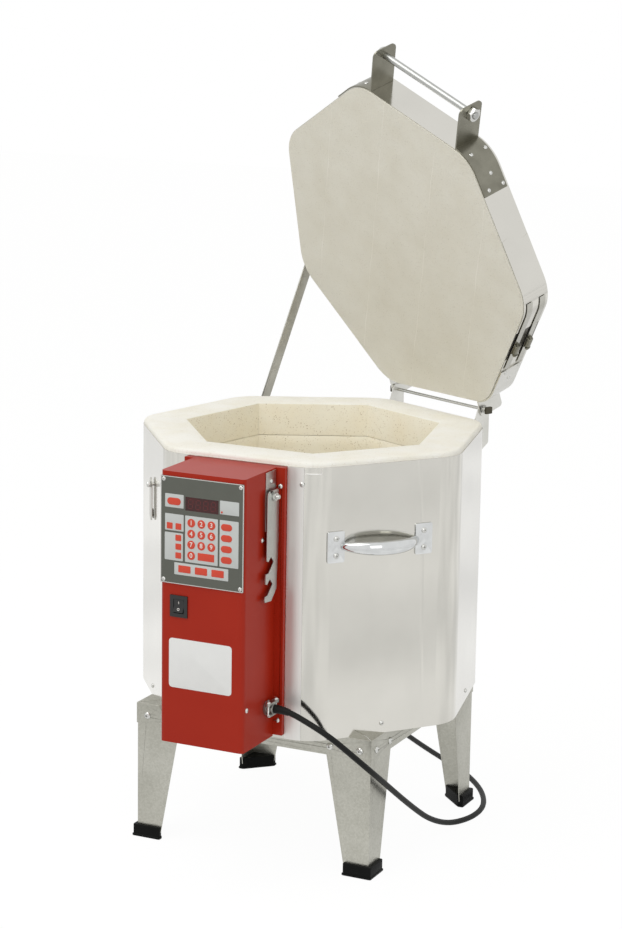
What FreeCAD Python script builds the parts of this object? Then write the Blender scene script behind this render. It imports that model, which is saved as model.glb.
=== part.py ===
"""Top-loading electric kiln: a seven-sided firebrick chamber in a stainless jacket, on a folded sheet stand.

Frame: millimetres, +Z up, floor at z = 0, the chamber's axis on the Z axis, the control box towards -Y.
Facets are counted anticlockwise from the control box (facet 0 faces -Y). What sits on a facet is drawn
as if it sat on facet 0, where x runs along the facet, -y points outward, and is then turned about Z.
The lid is drawn closed and then swung open about the hinge rod.
"""
import FreeCAD, Part
import math
import os
import re
import Sketcher

V = FreeCAD.Vector
doc = FreeCAD.newDocument("kiln")
sheet = doc.addObject("Spreadsheet::Sheet", "Sizes")

# Driving sizes in millimetres and degrees: alias, value, what it is.
SIZES = [
    ("brick_length", 228.6, "firebrick length, the outer side of the chamber"),
    ("brick_high", 114.3, "firebrick height, one course"),
    ("brick_thick", 63.5, "firebrick thickness, the chamber wall"),
    ("brick_joint", 0.4, "gap between neighbouring bricks"),
    ("slab_thick", 57.15, "chamber floor slab"),
    ("lid_thick", 50.8, "lid slab"),
    ("bend", 60.0, "outside radius of the rounded brick corners"),
    ("sheet_fit", 0.3, "clearance of sheet metal round the bricks"),
    ("jacket_thick", 0.8, "stainless jacket and lid band"),
    ("rim_proud", 7.0, "height of the rim bricks above the jacket"),
    ("pan_thick", 0.8, "base pan"),
    ("pan_lip", 26.0, "upturned lip of the base pan"),
    ("groove_high", 16.0, "element groove height"),
    ("groove_deep", 15.0, "element groove depth"),
    ("element_size", 11.0, "outer width of the coiled element"),
    ("element_inset", 2.0, "element behind the chamber wall face"),
    ("tail_size", 3.2, "element tail rod"),
    ("tail_spread", 24.0, "distance between the two tails of an element"),
    ("tail_length", 82.0, "tail length from the element's middle to the control box"),
    ("stand_width", 380.0, "stand over the rails"),
    ("stand_high", 206.0, "top of the stand"),
    ("rail_deep", 31.0, "rail web height"),
    ("rail_flange", 40.0, "rail top flange width"),
    ("rail_thick", 1.2, "stand sheet"),
    ("leg_top", 75.0, "leg width at its top"),
    ("leg_foot", 38.0, "leg width at its foot"),
    ("foot_wall", 4.0, "foot cap wall and floor"),
    ("foot_high", 18.0, "foot cap height"),
    ("foot_long", 44.0, "foot cap arm"),
    ("foot_lip", 1.6, "foot cap flare at the floor"),
    ("bolt_size", 5.0, "stand screw shank"),
    ("bolt_head", 10.5, "stand screw head width"),
    ("bolt_head_high", 3.2, "stand screw head height"),
    ("bolt_drop", 18.0, "stand screws below the stand's top"),
    ("bolt_in", 18.0, "first stand screw from the corner"),
    ("bolt_step", 47.0, "second stand screw from the first"),
    ("bolt_long", 6.0, "stand screw shank length"),
    ("fit", 0.1, "clearance round screws, rivets and pins, on the radius"),
    ("screw_size", 3.6, "sheet screw shank"),
    ("screw_head", 7.0, "sheet screw head"),
    ("screw_head_high", 2.2, "sheet screw head height"),
    ("screw_long", 7.0, "sheet screw shank length"),
    ("jacket_screw_up", 14.6, "bottom jacket screws above the stand"),
    ("handle_span", 138.0, "lifting handle screw spacing"),
    ("handle_shift", -9.0, "lifting handle off the middle of its facet"),
    ("handle_up", 280.0, "lifting handle above the stand"),
    ("handle_plate", 27.0, "lifting handle plate width"),
    ("handle_plate_high", 45.0, "lifting handle plate height"),
    ("handle_plate_thick", 2.5, "lifting handle plate thickness"),
    ("handle_screw_gap", 24.5, "lifting handle screws, one above the other"),
    ("grip_in", 10.0, "lifting handle grip's end inside the screws"),
    ("grip_reach", 34.0, "lifting handle grip middle from the jacket"),
    ("grip_size", 13.0, "lifting handle grip diameter"),
    ("hinge_out", 257.0, "hinge rod from the chamber's axis"),
    ("hinge_rise", 12.0, "hinge rod above the rim"),
    ("hinge_span", 200.0, "hinge ears, outside to outside"),
    ("hinge_shift", 9.0, "hinge ears off the middle of the facet"),
    ("hinge_rod_size", 5.0, "hinge rod diameter"),
    ("hinge_run", 0.06, "running clearance of the lid plates on the rod, on the radius"),
    ("rod_over", 9.0, "hinge rod beyond the lid plates"),
    ("clip_size", 9.5, "push nut on the rod's ends"),
    ("clip_long", 3.0, "push nut length"),
    ("ear_thick", 2.0, "hinge ear sheet"),
    ("ear_foot", 34.0, "hinge ear flange on the jacket"),
    ("ear_reach", 29.0, "hinge ear reach from the jacket"),
    ("ear_head", 9.0, "hinge ear above the rod"),
    ("ear_drop", 74.0, "hinge ear below the rod"),
    ("ear_taper", 22.0, "sloped bottom end of the ear"),
    ("plate_thick", 2.0, "lid hinge plates and handle brackets"),
    ("tab_reach", 27.0, "lid hinge plate reach from the band"),
    ("tab_gap", 0.4, "lid hinge plate beside the ear"),
    ("tab_foot", 77.0, "lid hinge plate from the corner along the next facet"),
    ("lid_gap", 0.3, "closed lid above the rim"),
    ("lid_angle", 70.5, "lid opening angle in the photographed pose"),
    ("band_low", 1.5, "lid band above the lid's underside"),
    ("band_high", 48.5, "lid band height"),
    ("band_gap", 62.0, "gap between the ends of the lid band"),
    ("band_gap_at", -22.0, "middle of that gap from the middle of its facet"),
    ("bracket_high", 46.0, "height of plates and brackets on the band"),
    ("handle_post", 174.0, "lid handle brackets, inside to inside"),
    ("post_reach", 67.0, "lid handle bracket reach from the band"),
    ("post_foot", 61.0, "lid handle bracket from the corner along the next facet"),
    ("rod_out", 52.0, "lid handle rod from the band"),
    ("rod_size", 10.0, "lid handle rod diameter"),
    ("nut_across", 16.0, "lid handle nut across flats"),
    ("nut_thick", 8.0, "lid handle nut thickness"),
    ("rod_end", 2.5, "lid handle rod beyond its nuts"),
    ("rivet_head", 6.0, "rivet head diameter"),
    ("rivet_high", 1.4, "rivet head height"),
    ("rivet_size", 3.2, "rivet shank diameter"),
    ("rivet_in", 7.0, "rivets from the end of a wrapped foot"),
    ("rivet_step", 21.0, "third rivet behind the first two"),
    ("rivet_low", 13.0, "lowest rivet above the lid's underside"),
    ("rivet_rise", 14.0, "each rivet above the one below"),
    ("strap_wide", 11.0, "band clamp strap width"),
    ("strap_thick", 0.7, "band clamp strap thickness"),
    ("strap_low", 12.0, "lower strap's middle above the lid's underside"),
    ("strap_step", 26.0, "upper strap above the lower one"),
    ("clamp_long", 17.0, "band clamp housing length"),
    ("clamp_high", 8.0, "band clamp housing height"),
    ("clamp_at", -15.0, "band clamp housing along its facet"),
    ("clamp_screw", 6.5, "band clamp screw diameter"),
    ("clamp_screw_long", 26.0, "band clamp screw length"),
    ("brace_wide", 16.0, "lid brace strip width"),
    ("brace_thick", 2.0, "lid brace strip thickness"),
    ("brace_long", 305.0, "lid brace from its pivot to its notch"),
    ("brace_gap", 0.9, "lid brace beside the jacket's widest line"),
    ("brace_up", 26.0, "lid brace pivot above the lid's underside"),
    ("brace_pin", 6.0, "lid brace pivot pin and stud diameter"),
    ("brace_tail", 11.0, "lid brace beyond its notch"),
    ("brace_lean", 22.3, "lid brace off the vertical while it holds the lid"),
    ("stud_plate", 36.0, "support stud plate width"),
    ("stud_plate_high", 30.0, "support stud plate height"),
    ("stud_edge", 6.4, "support stud plate beyond its pin"),
    ("stud_screw_in", 8.0, "support stud screws from the plate's far edge, and off its middle"),
    ("pin_head", 13.0, "head of the lid brace pivot and stud"),
    ("pin_head_high", 3.0, "height of those heads"),
    ("notch_fit", 0.3, "clearance of the notch round the stud, on the radius"),
    ("box_wide", 130.0, "control box width"),
    ("box_shift", -3.0, "control box off the middle of its facet"),
    ("box_high", 388.0, "control box height"),
    ("box_up", 4.0, "control box above the stand's top"),
    ("box_front", 339.0, "control box front from the chamber's axis"),
    ("box_wall", 1.2, "control box sheet"),
    ("box_bend", 6.0, "control box front edge radius"),
    ("inside_gap", 7.0, "relay from the control box's side"),
    ("relay_wide", 34.0, "relay width"),
    ("terminal_wide", 70.0, "terminal block width"),
    ("back_flange", 14.0, "control box back plate beyond the box"),
    ("back_stand", 6.0, "control box back plate off the jacket"),
    ("panel_wide", 128.0, "control panel width"),
    ("panel_high", 151.0, "control panel height"),
    ("panel_thick", 1.6, "control panel thickness"),
    ("panel_drop", 6.5, "control panel below the box's top"),
    ("panel_screw_in", 4.6, "panel screws from the panel's edges"),
    ("panel_screw", 3.0, "panel screw shank"),
    ("window_wide", 51.0, "display window width"),
    ("window_high", 19.0, "display window height"),
    ("window_drop", 26.5, "display window's top below the panel's top"),
    ("key_size", 12.0, "round key diameter"),
    ("key_step", 15.6, "key pitch across"),
    ("key_rise", 15.3, "key pitch down"),
    ("key_high", 0.5, "key relief"),
    ("block_thick", 0.4, "keypad block relief"),
    ("switch_wide", 27.0, "rocker switch frame width"),
    ("switch_high", 31.0, "rocker switch frame height"),
    ("switch_edge", 5.5, "rocker switch frame width round the rocker"),
    ("switch_lip", 1.8, "rocker switch frame thickness"),
    ("switch_deep", 26.0, "rocker switch body depth"),
    ("switch_left", 29.5, "rocker switch middle from the box's left side"),
    ("switch_drop", 189.5, "rocker switch middle below the box's top"),
    ("rocker_tilt", 8.0, "rocker tilt each way"),
    ("rocker_face", 4.0, "rocker face in front of its pivot"),
    ("rocker_gap", 0.5, "gap round the rocker"),
    ("rocker_pin", 3.0, "rocker pivot pin diameter"),
    ("rocker_pin_in", 1.2, "rocker pivot pin in its housing"),
    ("label_wide", 98.0, "label plate width"),
    ("label_high", 71.0, "label plate height"),
    ("label_thick", 0.3, "label plate thickness"),
    ("label_left", 63.0, "label middle from the box's left side"),
    ("label_drop", 271.5, "label middle below the box's top"),
    ("clamp_bore", 9.0, "cord clamp bore"),
    ("clamp_tube", 22.0, "cord clamp sleeve diameter"),
    ("clamp_out", 13.0, "cord clamp sleeve length outside the box"),
    ("clamp_y", 266.6, "cord clamp from the chamber's axis towards the front"),
    ("clamp_up", 51.6, "cord clamp above the stand's top"),
    ("cord_size", 8.4, "power cord diameter"),
    ("coil_mean", 95.0, "put-away coil, middle of the turns"),
    ("coil_turns", 3.0, "turns in the put-away coil"),
    ("floor_gap", 0.2, "cord, coil and plug above the floor"),
    ("plug_lead", 60.0, "cord between the coil and the plug"),
    ("plug_long", 40.0, "plug body length"),
    ("plug_wide", 30.0, "plug body width"),
    ("plug_neck", 15.0, "plug strain relief length"),
    ("blade_long", 19.0, "plug blades"),
    ("strip_wide", 30.0, "prop bracket strip width"),
    ("strip_high", 83.0, "prop bracket strip height"),
    ("strip_thick", 1.6, "prop bracket strip and arm thickness"),
    ("strip_y", 263.0, "prop bracket strip middle towards the front"),
    ("strip_drop", 2.0, "prop bracket strip below the box's top"),
    ("prop_y", 266.0, "prop arm pivot towards the front"),
    ("prop_drop", 36.3, "prop arm pivot below the box's top"),
    ("prop_off", 4.0, "prop arm off the bracket strip"),
    ("prop_pin", 6.35, "prop arm bolt diameter"),
    ("prop_nut", 11.1, "prop arm nut across flats"),
    ("prop_nut_thick", 4.0, "prop arm nut thickness"),
    ("peep_size", 15.0, "peephole diameter"),
    ("peep_drop", 123.0, "peephole below the rim"),
    ("flap_wide", 20.0, "peephole flap width"),
    ("flap_arm", 44.0, "peephole flap screw above the peephole"),
    ("flap_thick", 1.2, "peephole flap thickness"),
    ("flap_off", 2.5, "peephole flap off the jacket"),
    ("flap_screw", 5.0, "peephole flap screw diameter"),
    ("flap_knob", 9.0, "peephole flap screw head diameter"),
    ("probe_size", 6.0, "thermocouple diameter"),
    ("probe_in", 22.0, "thermocouple tip inside the chamber"),
    ("probe_up", 199.0, "thermocouple above the stand's top"),
]
COURSES = 3
SIDES = 7

for row, (alias, value, meaning) in enumerate(SIZES, start=1):
    sheet.set(f"A{row}", meaning)
    sheet.set(f"B{row}", str(value))
    sheet.setAlias(f"B{row}", alias)
doc.recompute()
ALIASES = {alias for alias, _, _ in SIZES}


def bound(text):
    """An expression in which each alias is read from the sheet."""

    def full(match):
        word = match.group(0)
        return "Sizes." + word if word in ALIASES else word

    return re.sub(r"[a-z_]+", full, str(text))


def number(text):
    """The present value of an expression."""
    value = sheet.evalExpression(bound(text))
    return float(getattr(value, "Value", value))


# Distances that several pieces share, as expressions of the sizes above.
TURN = f"(360 / {SIDES})"
HALF = f"(180 deg / {SIDES})"
WALL_OUT = f"(brick_length / 2 / tan({HALF}))"
WALL_IN = f"({WALL_OUT} - brick_thick)"
SKIN_IN = f"({WALL_OUT} + sheet_fit)"
SKIN_OUT = f"({SKIN_IN} + jacket_thick)"
Z_SLAB = "(stand_high + pan_thick)"
Z_WALL = f"({Z_SLAB} + slab_thick)"
Z_RIM = f"({Z_WALL} + {COURSES} * brick_high)"
Z_LID = f"({Z_RIM} + lid_gap)"
CORNER = f"(({WALL_OUT} - bend) / cos({HALF}))"
HINGE_FACET = 3
BRACE_CORNER = 4
AWAY = 300.0
WHOLE_HEIGHT = (0, "2000")


def placed(x=0, y=0, z=0, rotation="rotation(vector(0; 0; 1); 0)"):
    return f"placement(vector({x}; {y}; {z}); {rotation})"


def turned(angle):
    return placed(rotation=f"rotation(vector(0; 0; 1); {angle})")


def facet(k):
    """From facet 0 to facet k."""
    return turned(f"{k} * {TURN}")


ALONG_X = "rotation(vector(0; 1; 0); 90)"
OUTWARD = "rotation(vector(1; 0; 0); 90)"
HINGE_LINE = f"{HINGE_FACET} * 360 deg / {SIDES}"
OPEN_LID = (
    f"placement(vector(0; 0; 0); rotation(vector(cos({HINGE_LINE}); sin({HINGE_LINE}); 0); lid_angle); "
    f"vector(hinge_out * sin({HINGE_LINE}); 0 - hinge_out * cos({HINGE_LINE}); {Z_RIM} + hinge_rise))"
)


def place(obj, *steps):
    """Binds an object's Placement to a product of placement expressions, the first applied last."""
    obj.setExpression("Placement", bound(" * ".join(steps)))
    return obj


def box(name, x, y, z, *steps):
    """A block from (x0, x1), (y0, y1) and (z0, z1), each a pair of expressions."""
    obj = doc.addObject("Part::Box", name)
    for prop, (low, high) in zip(("Length", "Width", "Height"), (x, y, z)):
        obj.setExpression(prop, bound(f"({high}) - ({low})"))
    return place(obj, *steps, placed(x[0], y[0], z[0]))


def rod(name, diameter, long, *steps):
    """A cylinder that starts at its own origin and runs along its own Z."""
    obj = doc.addObject("Part::Cylinder", name)
    obj.setExpression("Radius", bound(f"({diameter}) / 2"))
    obj.setExpression("Height", bound(long))
    return place(obj, *steps) if steps else obj


def joined(name, *parts):
    obj = doc.addObject("Part::MultiFuse", name)
    obj.Shapes = list(parts)
    return obj


def shared(name, *parts):
    obj = doc.addObject("Part::MultiCommon", name)
    obj.Shapes = list(parts)
    return obj


def group(name, *parts):
    """Separate solids kept together."""
    obj = doc.addObject("Part::Compound", name)
    obj.Links = list(parts)
    return obj


def less(name, base, *tools):
    """The base without the tools."""
    obj = doc.addObject("Part::Cut", name)
    obj.Base = base
    obj.Tool = tools[0] if len(tools) == 1 else group(name + "_tools", *tools)
    return obj


def smooth(name, base, radius, wanted):
    """Rounds the edges whose middle point the test picks."""
    doc.recompute()
    edges = [i for i, e in enumerate(base.Shape.Edges, start=1) if wanted(e)]
    obj = doc.addObject("Part::Fillet", name)
    obj.Base = base
    obj.Edges = [(i, number(radius), number(radius)) for i in edges]
    return obj


def rounded(name, flat, radius, low, high, *steps):
    """A seven-sided prism with rounded corners, its flats at the given distance from the axis."""
    core = doc.addObject("Part::RegularPolygon", name + "_core")
    core.Polygon = SIDES
    core.setExpression("Circumradius", bound(f"(({flat}) - ({radius})) / cos({HALF})"))
    place(core, turned(f"0 - 90 + 180 / {SIDES}"))
    outline = doc.addObject("Part::Offset2D", name + "_outline")
    outline.Source = core
    outline.setExpression("Value", bound(radius))
    outline.Join = 0
    solid = doc.addObject("Part::Extrusion", name)
    solid.Base = outline
    solid.DirMode = "Custom"
    solid.Dir = V(0, 0, 1)
    solid.setExpression("LengthFwd", bound(f"({high}) - ({low})"))
    solid.Solid = True
    return place(solid, *steps, placed(z=low))


def prism(name, flat, low, high):
    """A seven-sided prism with sharp corners."""
    obj = doc.addObject("Part::Prism", name)
    obj.Polygon = SIDES
    obj.setExpression("Circumradius", bound(f"({flat}) / cos({HALF})"))
    obj.setExpression("Height", bound(f"({high}) - ({low})"))
    return place(obj, placed(z=low), turned(f"0 - 90 + 180 / {SIDES}"))


def plate(name, outline, thick, bends=()):
    """A flat sheet part: a closed outline of (x, y) expressions, padded, its corners rounded in pairs
    of corner number and radius."""
    body = doc.addObject("PartDesign::Body", name)
    sketch = body.newObject("Sketcher::SketchObject", name + "_outline")
    base = [f for f in body.Origin.OriginFeatures if f.Role == "XY_Plane"][0]
    sketch.AttachmentSupport = [(base, "")]
    sketch.MapMode = "FlatFace"
    spots = [V(number(x), number(y), 0) for x, y in outline]
    for i, spot in enumerate(spots):
        sketch.addGeometry(Part.LineSegment(spot, spots[(i + 1) % len(spots)]), False)
    for i in range(len(spots)):
        sketch.addConstraint(Sketcher.Constraint("Coincident", i, 2, (i + 1) % len(spots), 1))
    for i, (x, y) in enumerate(outline):
        for kind, value, text in (("DistanceX", spots[i].x, x), ("DistanceY", spots[i].y, y)):
            index = sketch.addConstraint(Sketcher.Constraint(kind, -1, 1, i, 1, value))
            sketch.setExpression(f"Constraints[{index}]", bound(text))
    pad = body.newObject("PartDesign::Pad", name + "_pad")
    pad.Profile = sketch
    pad.setExpression("Length", bound(thick))
    doc.recompute()
    for step, (corner, radius) in enumerate(bends):
        spot = spots[corner]
        last = body.Tip
        edges = [
            f"Edge{i}"
            for i, e in enumerate(last.Shape.Edges, start=1)
            if all(math.hypot(v.Point.x - spot.x, v.Point.y - spot.y) < 1e-4 for v in e.Vertexes)
        ]
        fillet = body.newObject("PartDesign::Fillet", f"{name}_round_{step}")
        fillet.Base = (last, edges)
        fillet.setExpression("Radius", bound(radius))
        doc.recompute()
    return body


def screw(name, shank, long, head, head_high, *steps):
    """A round-headed screw: its head stands out along its own Z, its shank runs the other way."""
    return place(
        joined(
            name,
            rod(name + "_shank", shank, f"({long}) + ({head_high}) / 2", placed(z=f"0 - ({long})")),
            rod(name + "_head", head, head_high),
        ),
        *steps,
    )


def hole(name, diameter, deep, *steps):
    """A cutter along its own Z, as deep behind its origin as it stands out in front."""
    return rod(name, f"({diameter}) + 2 * fit", f"2 * ({deep})", *steps, placed(z=f"0 - ({deep})"))


NODES = {}


def node(label, obj, *steps):
    """Hands a finished piece over under its own name."""
    if steps:
        place(obj, *steps)
    obj.Label = label
    NODES[label] = obj
    return obj


# The stand: four folded rails, four tapered angle legs and their foot caps.
HALF_STAND = "(stand_width / 2)"
RAIL_IN = f"({HALF_STAND} - rail_thick)"


def bolt_spots(side):
    """Places of a side's rail screws, drawn for the front rail, with local Z outward."""
    spots = []
    for sign in ("1", "(0 - 1)"):
        for extra in ("0", "bolt_step"):
            along = f"{sign} * ({HALF_STAND} - bolt_in - {extra})"
            at = placed(along, f"0 - {HALF_STAND}", "stand_high - bolt_drop", OUTWARD)
            spots.append([turned(f"{side} * 90"), at])
    return spots


def stand_rail(name, side):
    web_cut = "0" if side % 2 == 0 else "(rail_thick + sheet_fit)"
    half_web = f"({HALF_STAND} - {web_cut})"
    web = box(
        name + "_web",
        (f"0 - {half_web}", half_web),
        (f"0 - {HALF_STAND}", f"0 - {RAIL_IN}"),
        ("stand_high - rail_deep", "stand_high"),
    )
    flange = doc.addObject("Part::Wedge", name + "_flange")
    for prop, text in (
        ("Xmin", f"0 - {half_web}"),
        ("Xmax", half_web),
        ("X2min", f"0 - ({half_web} - rail_flange)"),
        ("X2max", f"{half_web} - rail_flange"),
        ("Ymin", f"0 - {HALF_STAND}"),
        ("Ymax", f"rail_flange - {HALF_STAND}"),
        ("Zmin", "0"),
        ("Zmax", "rail_thick"),
        ("Z2min", "0"),
        ("Z2max", "rail_thick"),
    ):
        flange.setExpression(prop, bound(text))
    place(flange, placed(z="stand_high - rail_thick"))
    fold = joined(name + "_fold", web, flange)
    holes = []
    for i, spot in enumerate(bolt_spots(0)):
        holes.append(hole(f"{name}_hole_{i}", "bolt_size", "bolt_long", *spot[1:]))
    return node(name, less(name + "_piece", fold, *holes), turned(f"{side} * 90"))


def leg_plate(name, wide_foot, wide_top, low, thick, rotation):
    """A tapered plate that stands on its narrow end, one long edge upright at the origin."""
    obj = doc.addObject("Part::Wedge", name)
    for prop, text in (
        ("Xmin", "0"),
        ("Xmax", wide_foot),
        ("X2min", "0"),
        ("X2max", wide_top),
        ("Ymin", "0"),
        ("Ymax", f"stand_high - rail_thick - ({low})"),
        ("Zmin", "0"),
        ("Zmax", thick),
        ("Z2min", "0"),
        ("Z2max", thick),
    ):
        obj.setExpression(prop, bound(text))
    return place(obj, placed(z=low), rotation)


UPRIGHT_X = placed(y="rail_thick", rotation="rotation(vector(1; 0; 0); 90)")
UPRIGHT_Y = placed(rotation="rotation(vector(1; 1; 1); 120)")


def corner_step(corner):
    """From a leg's own corner, its plates running along +x and +y, to a corner of the stand."""
    return [turned(f"{corner} * 90"), placed(f"0 - {RAIL_IN}", f"0 - {RAIL_IN}")]


def stand_leg(name, corner):
    plates = [
        leg_plate(name + "_front", "leg_foot", "leg_top", "foot_wall", "rail_thick", UPRIGHT_X),
        leg_plate(name + "_side", "leg_foot", "leg_top", "foot_wall", "rail_thick", UPRIGHT_Y),
    ]
    holes = []
    for i, extra in enumerate(("0", "bolt_step")):
        along = f"bolt_in + {extra} - rail_thick"
        up = "stand_high - bolt_drop"
        holes.append(hole(f"{name}_hole_x{i}", "bolt_size", "bolt_long", placed(along, 0, up, OUTWARD)))
        holes.append(hole(f"{name}_hole_y{i}", "bolt_size", "bolt_long", placed(0, along, up, ALONG_X)))
    return node(name, less(name + "_piece", joined(name + "_fold", *plates), *holes), *corner_step(corner))


def foot_cap(name, corner):
    out = "(0 - foot_wall)"
    thick = "(rail_thick + foot_wall)"
    arm = "(foot_long - foot_wall)"
    lip = (f"{out} - foot_lip", f"{arm} + foot_lip")
    solid = joined(
        name + "_block",
        box(name + "_a", (out, arm), (out, thick), (0, "foot_high")),
        box(name + "_b", (out, thick), (out, arm), (0, "foot_high")),
        box(name + "_c", lip, (lip[0], thick), (0, "2 * foot_lip")),
        box(name + "_d", (lip[0], thick), lip, (0, "2 * foot_lip")),
    )
    slot = "(rail_thick + fit)"
    end = "(leg_foot + (leg_top - leg_foot) * foot_high / stand_high + fit)"
    slots = [
        box(name + "_e", ("0 - fit", end), ("0 - fit", slot), ("foot_wall", "foot_high + 1")),
        box(name + "_f", ("0 - fit", slot), ("0 - fit", end), ("foot_wall", "foot_high + 1")),
    ]
    return place(less(name, solid, *slots), *corner_step(corner))


for side, name in enumerate(("front", "right", "back", "left")):
    stand_rail("stand_rail_" + name, side)
CORNERS = ("front_left", "front_right", "back_right", "back_left")
for corner, name in enumerate(CORNERS):
    stand_leg("stand_leg_" + name, corner)
node("stand_feet", group("feet", *[foot_cap(f"foot_{name}", i) for i, name in enumerate(CORNERS)]))
node(
    "stand_screws",
    group(
        "stand_screw_set",
        *[
            screw(f"stand_screw_{side}_{i}", "bolt_size", "bolt_long", "bolt_head", "bolt_head_high", *spot)
            for side in range(4)
            for i, spot in enumerate(bolt_spots(side))
        ],
    ),
)

# Screws through the jacket: one low on each free facet, and those of the pieces it carries.


def jacket_screw_spots():
    spots = []
    for k in range(1, SIDES):
        spots.append([facet(k), placed(0, f"0 - {SKIN_OUT}", "stand_high + jacket_screw_up", OUTWARD)])
    return spots


HANDLE_FACETS = {"handle_right": 1, "handle_left": 5}
Z_HANDLE = "(stand_high + handle_up)"


def handle_screw_spots(k):
    return [
        [
            facet(k),
            placed(
                f"handle_shift + {sx} * handle_span / 2",
                f"0 - {SKIN_OUT} - handle_plate_thick",
                f"{Z_HANDLE} + {sz} * handle_screw_gap / 2",
                OUTWARD,
            ),
        ]
        for sx in ("1", "(0 - 1)")
        for sz in ("1", "(0 - 1)")
    ]


# Hinge ears stand on the jacket's hinge facet. Local x of the two ears, outside faces.
EAR_X = {"right": "(hinge_shift - hinge_span / 2)", "left": "(hinge_shift + hinge_span / 2)"}
EAR_SIGN = {"right": "(0 - 1)", "left": "1"}
Z_HINGE = f"({Z_RIM} + hinge_rise)"


def ear_screw_spots(side):
    inward = f"(0 - {EAR_SIGN[side]})"
    return [
        [
            facet(HINGE_FACET),
            placed(
                f"{EAR_X[side]} + {inward} * (ear_foot - 8)",
                f"0 - {SKIN_OUT} - ear_thick",
                f"{Z_HINGE} - ear_drop + ear_taper + {rise}",
                OUTWARD,
            ),
        ]
        for rise in ("0", "22")
    ]


BACK_LEFT = "(box_shift - box_wide / 2 - back_flange)"
BACK_RIGHT = "(box_shift + box_wide / 2 + back_flange)"
BACK_Y = f"({SKIN_OUT} + back_stand)"
Z_BOX = "(stand_high + box_up)"
Z_BOX_TOP = f"({Z_BOX} + box_high)"


def box_flange_spots():
    """Screws through the back plate's flanges into the jacket and bricks."""
    return [
        placed(x, f"0 - {BACK_Y} - box_wall", z, OUTWARD)
        for x in (f"{BACK_LEFT} + back_flange / 2", f"{BACK_RIGHT} - back_flange / 2")
        for z in (f"{Z_BOX} + 24", f"{Z_BOX_TOP} - 26")
    ]


# Lid brace: it swings beside the jacket's widest line, across the hinge rod's direction. In the hinge
# facet's frame the rounded corner's middle is at x = CORNER_X, y = -CORNER_OUT.
CORNER_X = f"({CORNER} * cos(90 deg / {SIDES}))"
CORNER_OUT = f"({CORNER} * sin(90 deg / {SIDES}))"
BRACE_X = f"({CORNER_X} + bend + sheet_fit + jacket_thick + brace_gap)"
PIVOT_BACK = f"(hinge_out - {CORNER_OUT})"
PIVOT_UP = "(lid_gap + brace_up - hinge_rise)"
PIVOT_OUT = f"(hinge_out - {PIVOT_BACK} * cos(lid_angle * 1 deg) + {PIVOT_UP} * sin(lid_angle * 1 deg))"
PIVOT_Z = f"({Z_HINGE} + {PIVOT_BACK} * sin(lid_angle * 1 deg) + {PIVOT_UP} * cos(lid_angle * 1 deg))"
STUD_OUT = f"({PIVOT_OUT} - brace_long * sin(brace_lean * 1 deg))"
STUD_Z = f"({PIVOT_Z} - brace_long * cos(brace_lean * 1 deg))"
STUD_ALONG = f"(({SKIN_OUT} * cos({TURN} * 1 deg) - {STUD_OUT}) / sin({TURN} * 1 deg))"
STUD_EDGE = f"({STUD_ALONG} + stud_edge)"


def stud_screw_spots():
    x = f"{STUD_EDGE} - stud_plate + stud_screw_in"
    y = f"0 - {SKIN_OUT} - plate_thick"
    rises = ("stud_screw_in", "(0 - stud_screw_in)")
    return [[facet(BRACE_CORNER), placed(x, y, f"{STUD_Z} + {rise}", OUTWARD)] for rise in rises]


# Peephole, thermocouple, element tails and flap screw run through wall and jacket.
Z_PEEP = f"({Z_RIM} - peep_drop)"
Z_FLAP = f"({Z_PEEP} + flap_arm)"
PEEP_FACET = 6
Z_PROBE = "(stand_high + probe_up)"
THROUGH = f"({WALL_OUT} + 20)"


def course_low(k):
    return f"({Z_WALL} + {k} * brick_high)"


def groove_low(k):
    return f"({course_low(k)} + brick_high / 2 - groove_high / 2)"


def element_z(k):
    return f"({groove_low(k)} + element_size / 2)"


def tail_x(sign):
    return f"box_shift + {sign} * tail_spread / 2"


def through_holes(name, courses, peep):
    probe_at = placed("box_shift", 0, Z_PROBE, OUTWARD)
    cutters = [rod(name + "_probe", "probe_size + 2 * fit", THROUGH, probe_at)]
    if peep:
        peep_at = placed(0, 0, Z_PEEP, OUTWARD)
        cutters.append(rod(name + "_peep", "peep_size", THROUGH, facet(PEEP_FACET), peep_at))
    for k in courses:
        for i, sign in enumerate(("1", "(0 - 1)")):
            place_at = placed(tail_x(sign), 0, element_z(k), OUTWARD)
            cutters.append(rod(f"{name}_tail_{k}_{i}", "tail_size + 1", THROUGH, place_at))
    return cutters


def wall_holes(name):
    """Cutters for every screw that goes through the jacket into the bricks."""
    cutters = []
    for i, s in enumerate(jacket_screw_spots()):
        cutters.append(hole(f"{name}_jacket_{i}", "screw_size", "screw_long", *s))
    for label, k in HANDLE_FACETS.items():
        for i, s in enumerate(handle_screw_spots(k)):
            cutters.append(hole(f"{name}_{label}_{i}", "screw_size", "screw_long + handle_plate_thick", *s))
    for side in EAR_X:
        for i, s in enumerate(ear_screw_spots(side)):
            cutters.append(hole(f"{name}_ear_{side}_{i}", "screw_size", "screw_long + ear_thick", *s))
    for i, s in enumerate(box_flange_spots()):
        cutters.append(hole(f"{name}_flange_{i}", "screw_size", "screw_long + back_stand + box_wall", s))
    for i, s in enumerate(stud_screw_spots()):
        cutters.append(hole(f"{name}_stud_{i}", "screw_size", "screw_long + plate_thick", *s))
    flap = [facet(PEEP_FACET), placed(0, f"0 - {SKIN_OUT}", Z_FLAP, OUTWARD)]
    cutters.append(hole(f"{name}_flap", "flap_screw", "screw_long", *flap))
    return cutters


# Base pan, floor slab and the three courses of seven bricks.
PAN_FLAT = f"({SKIN_IN} - fit)"
PAN_BEND = "(bend + sheet_fit - fit)"


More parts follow.
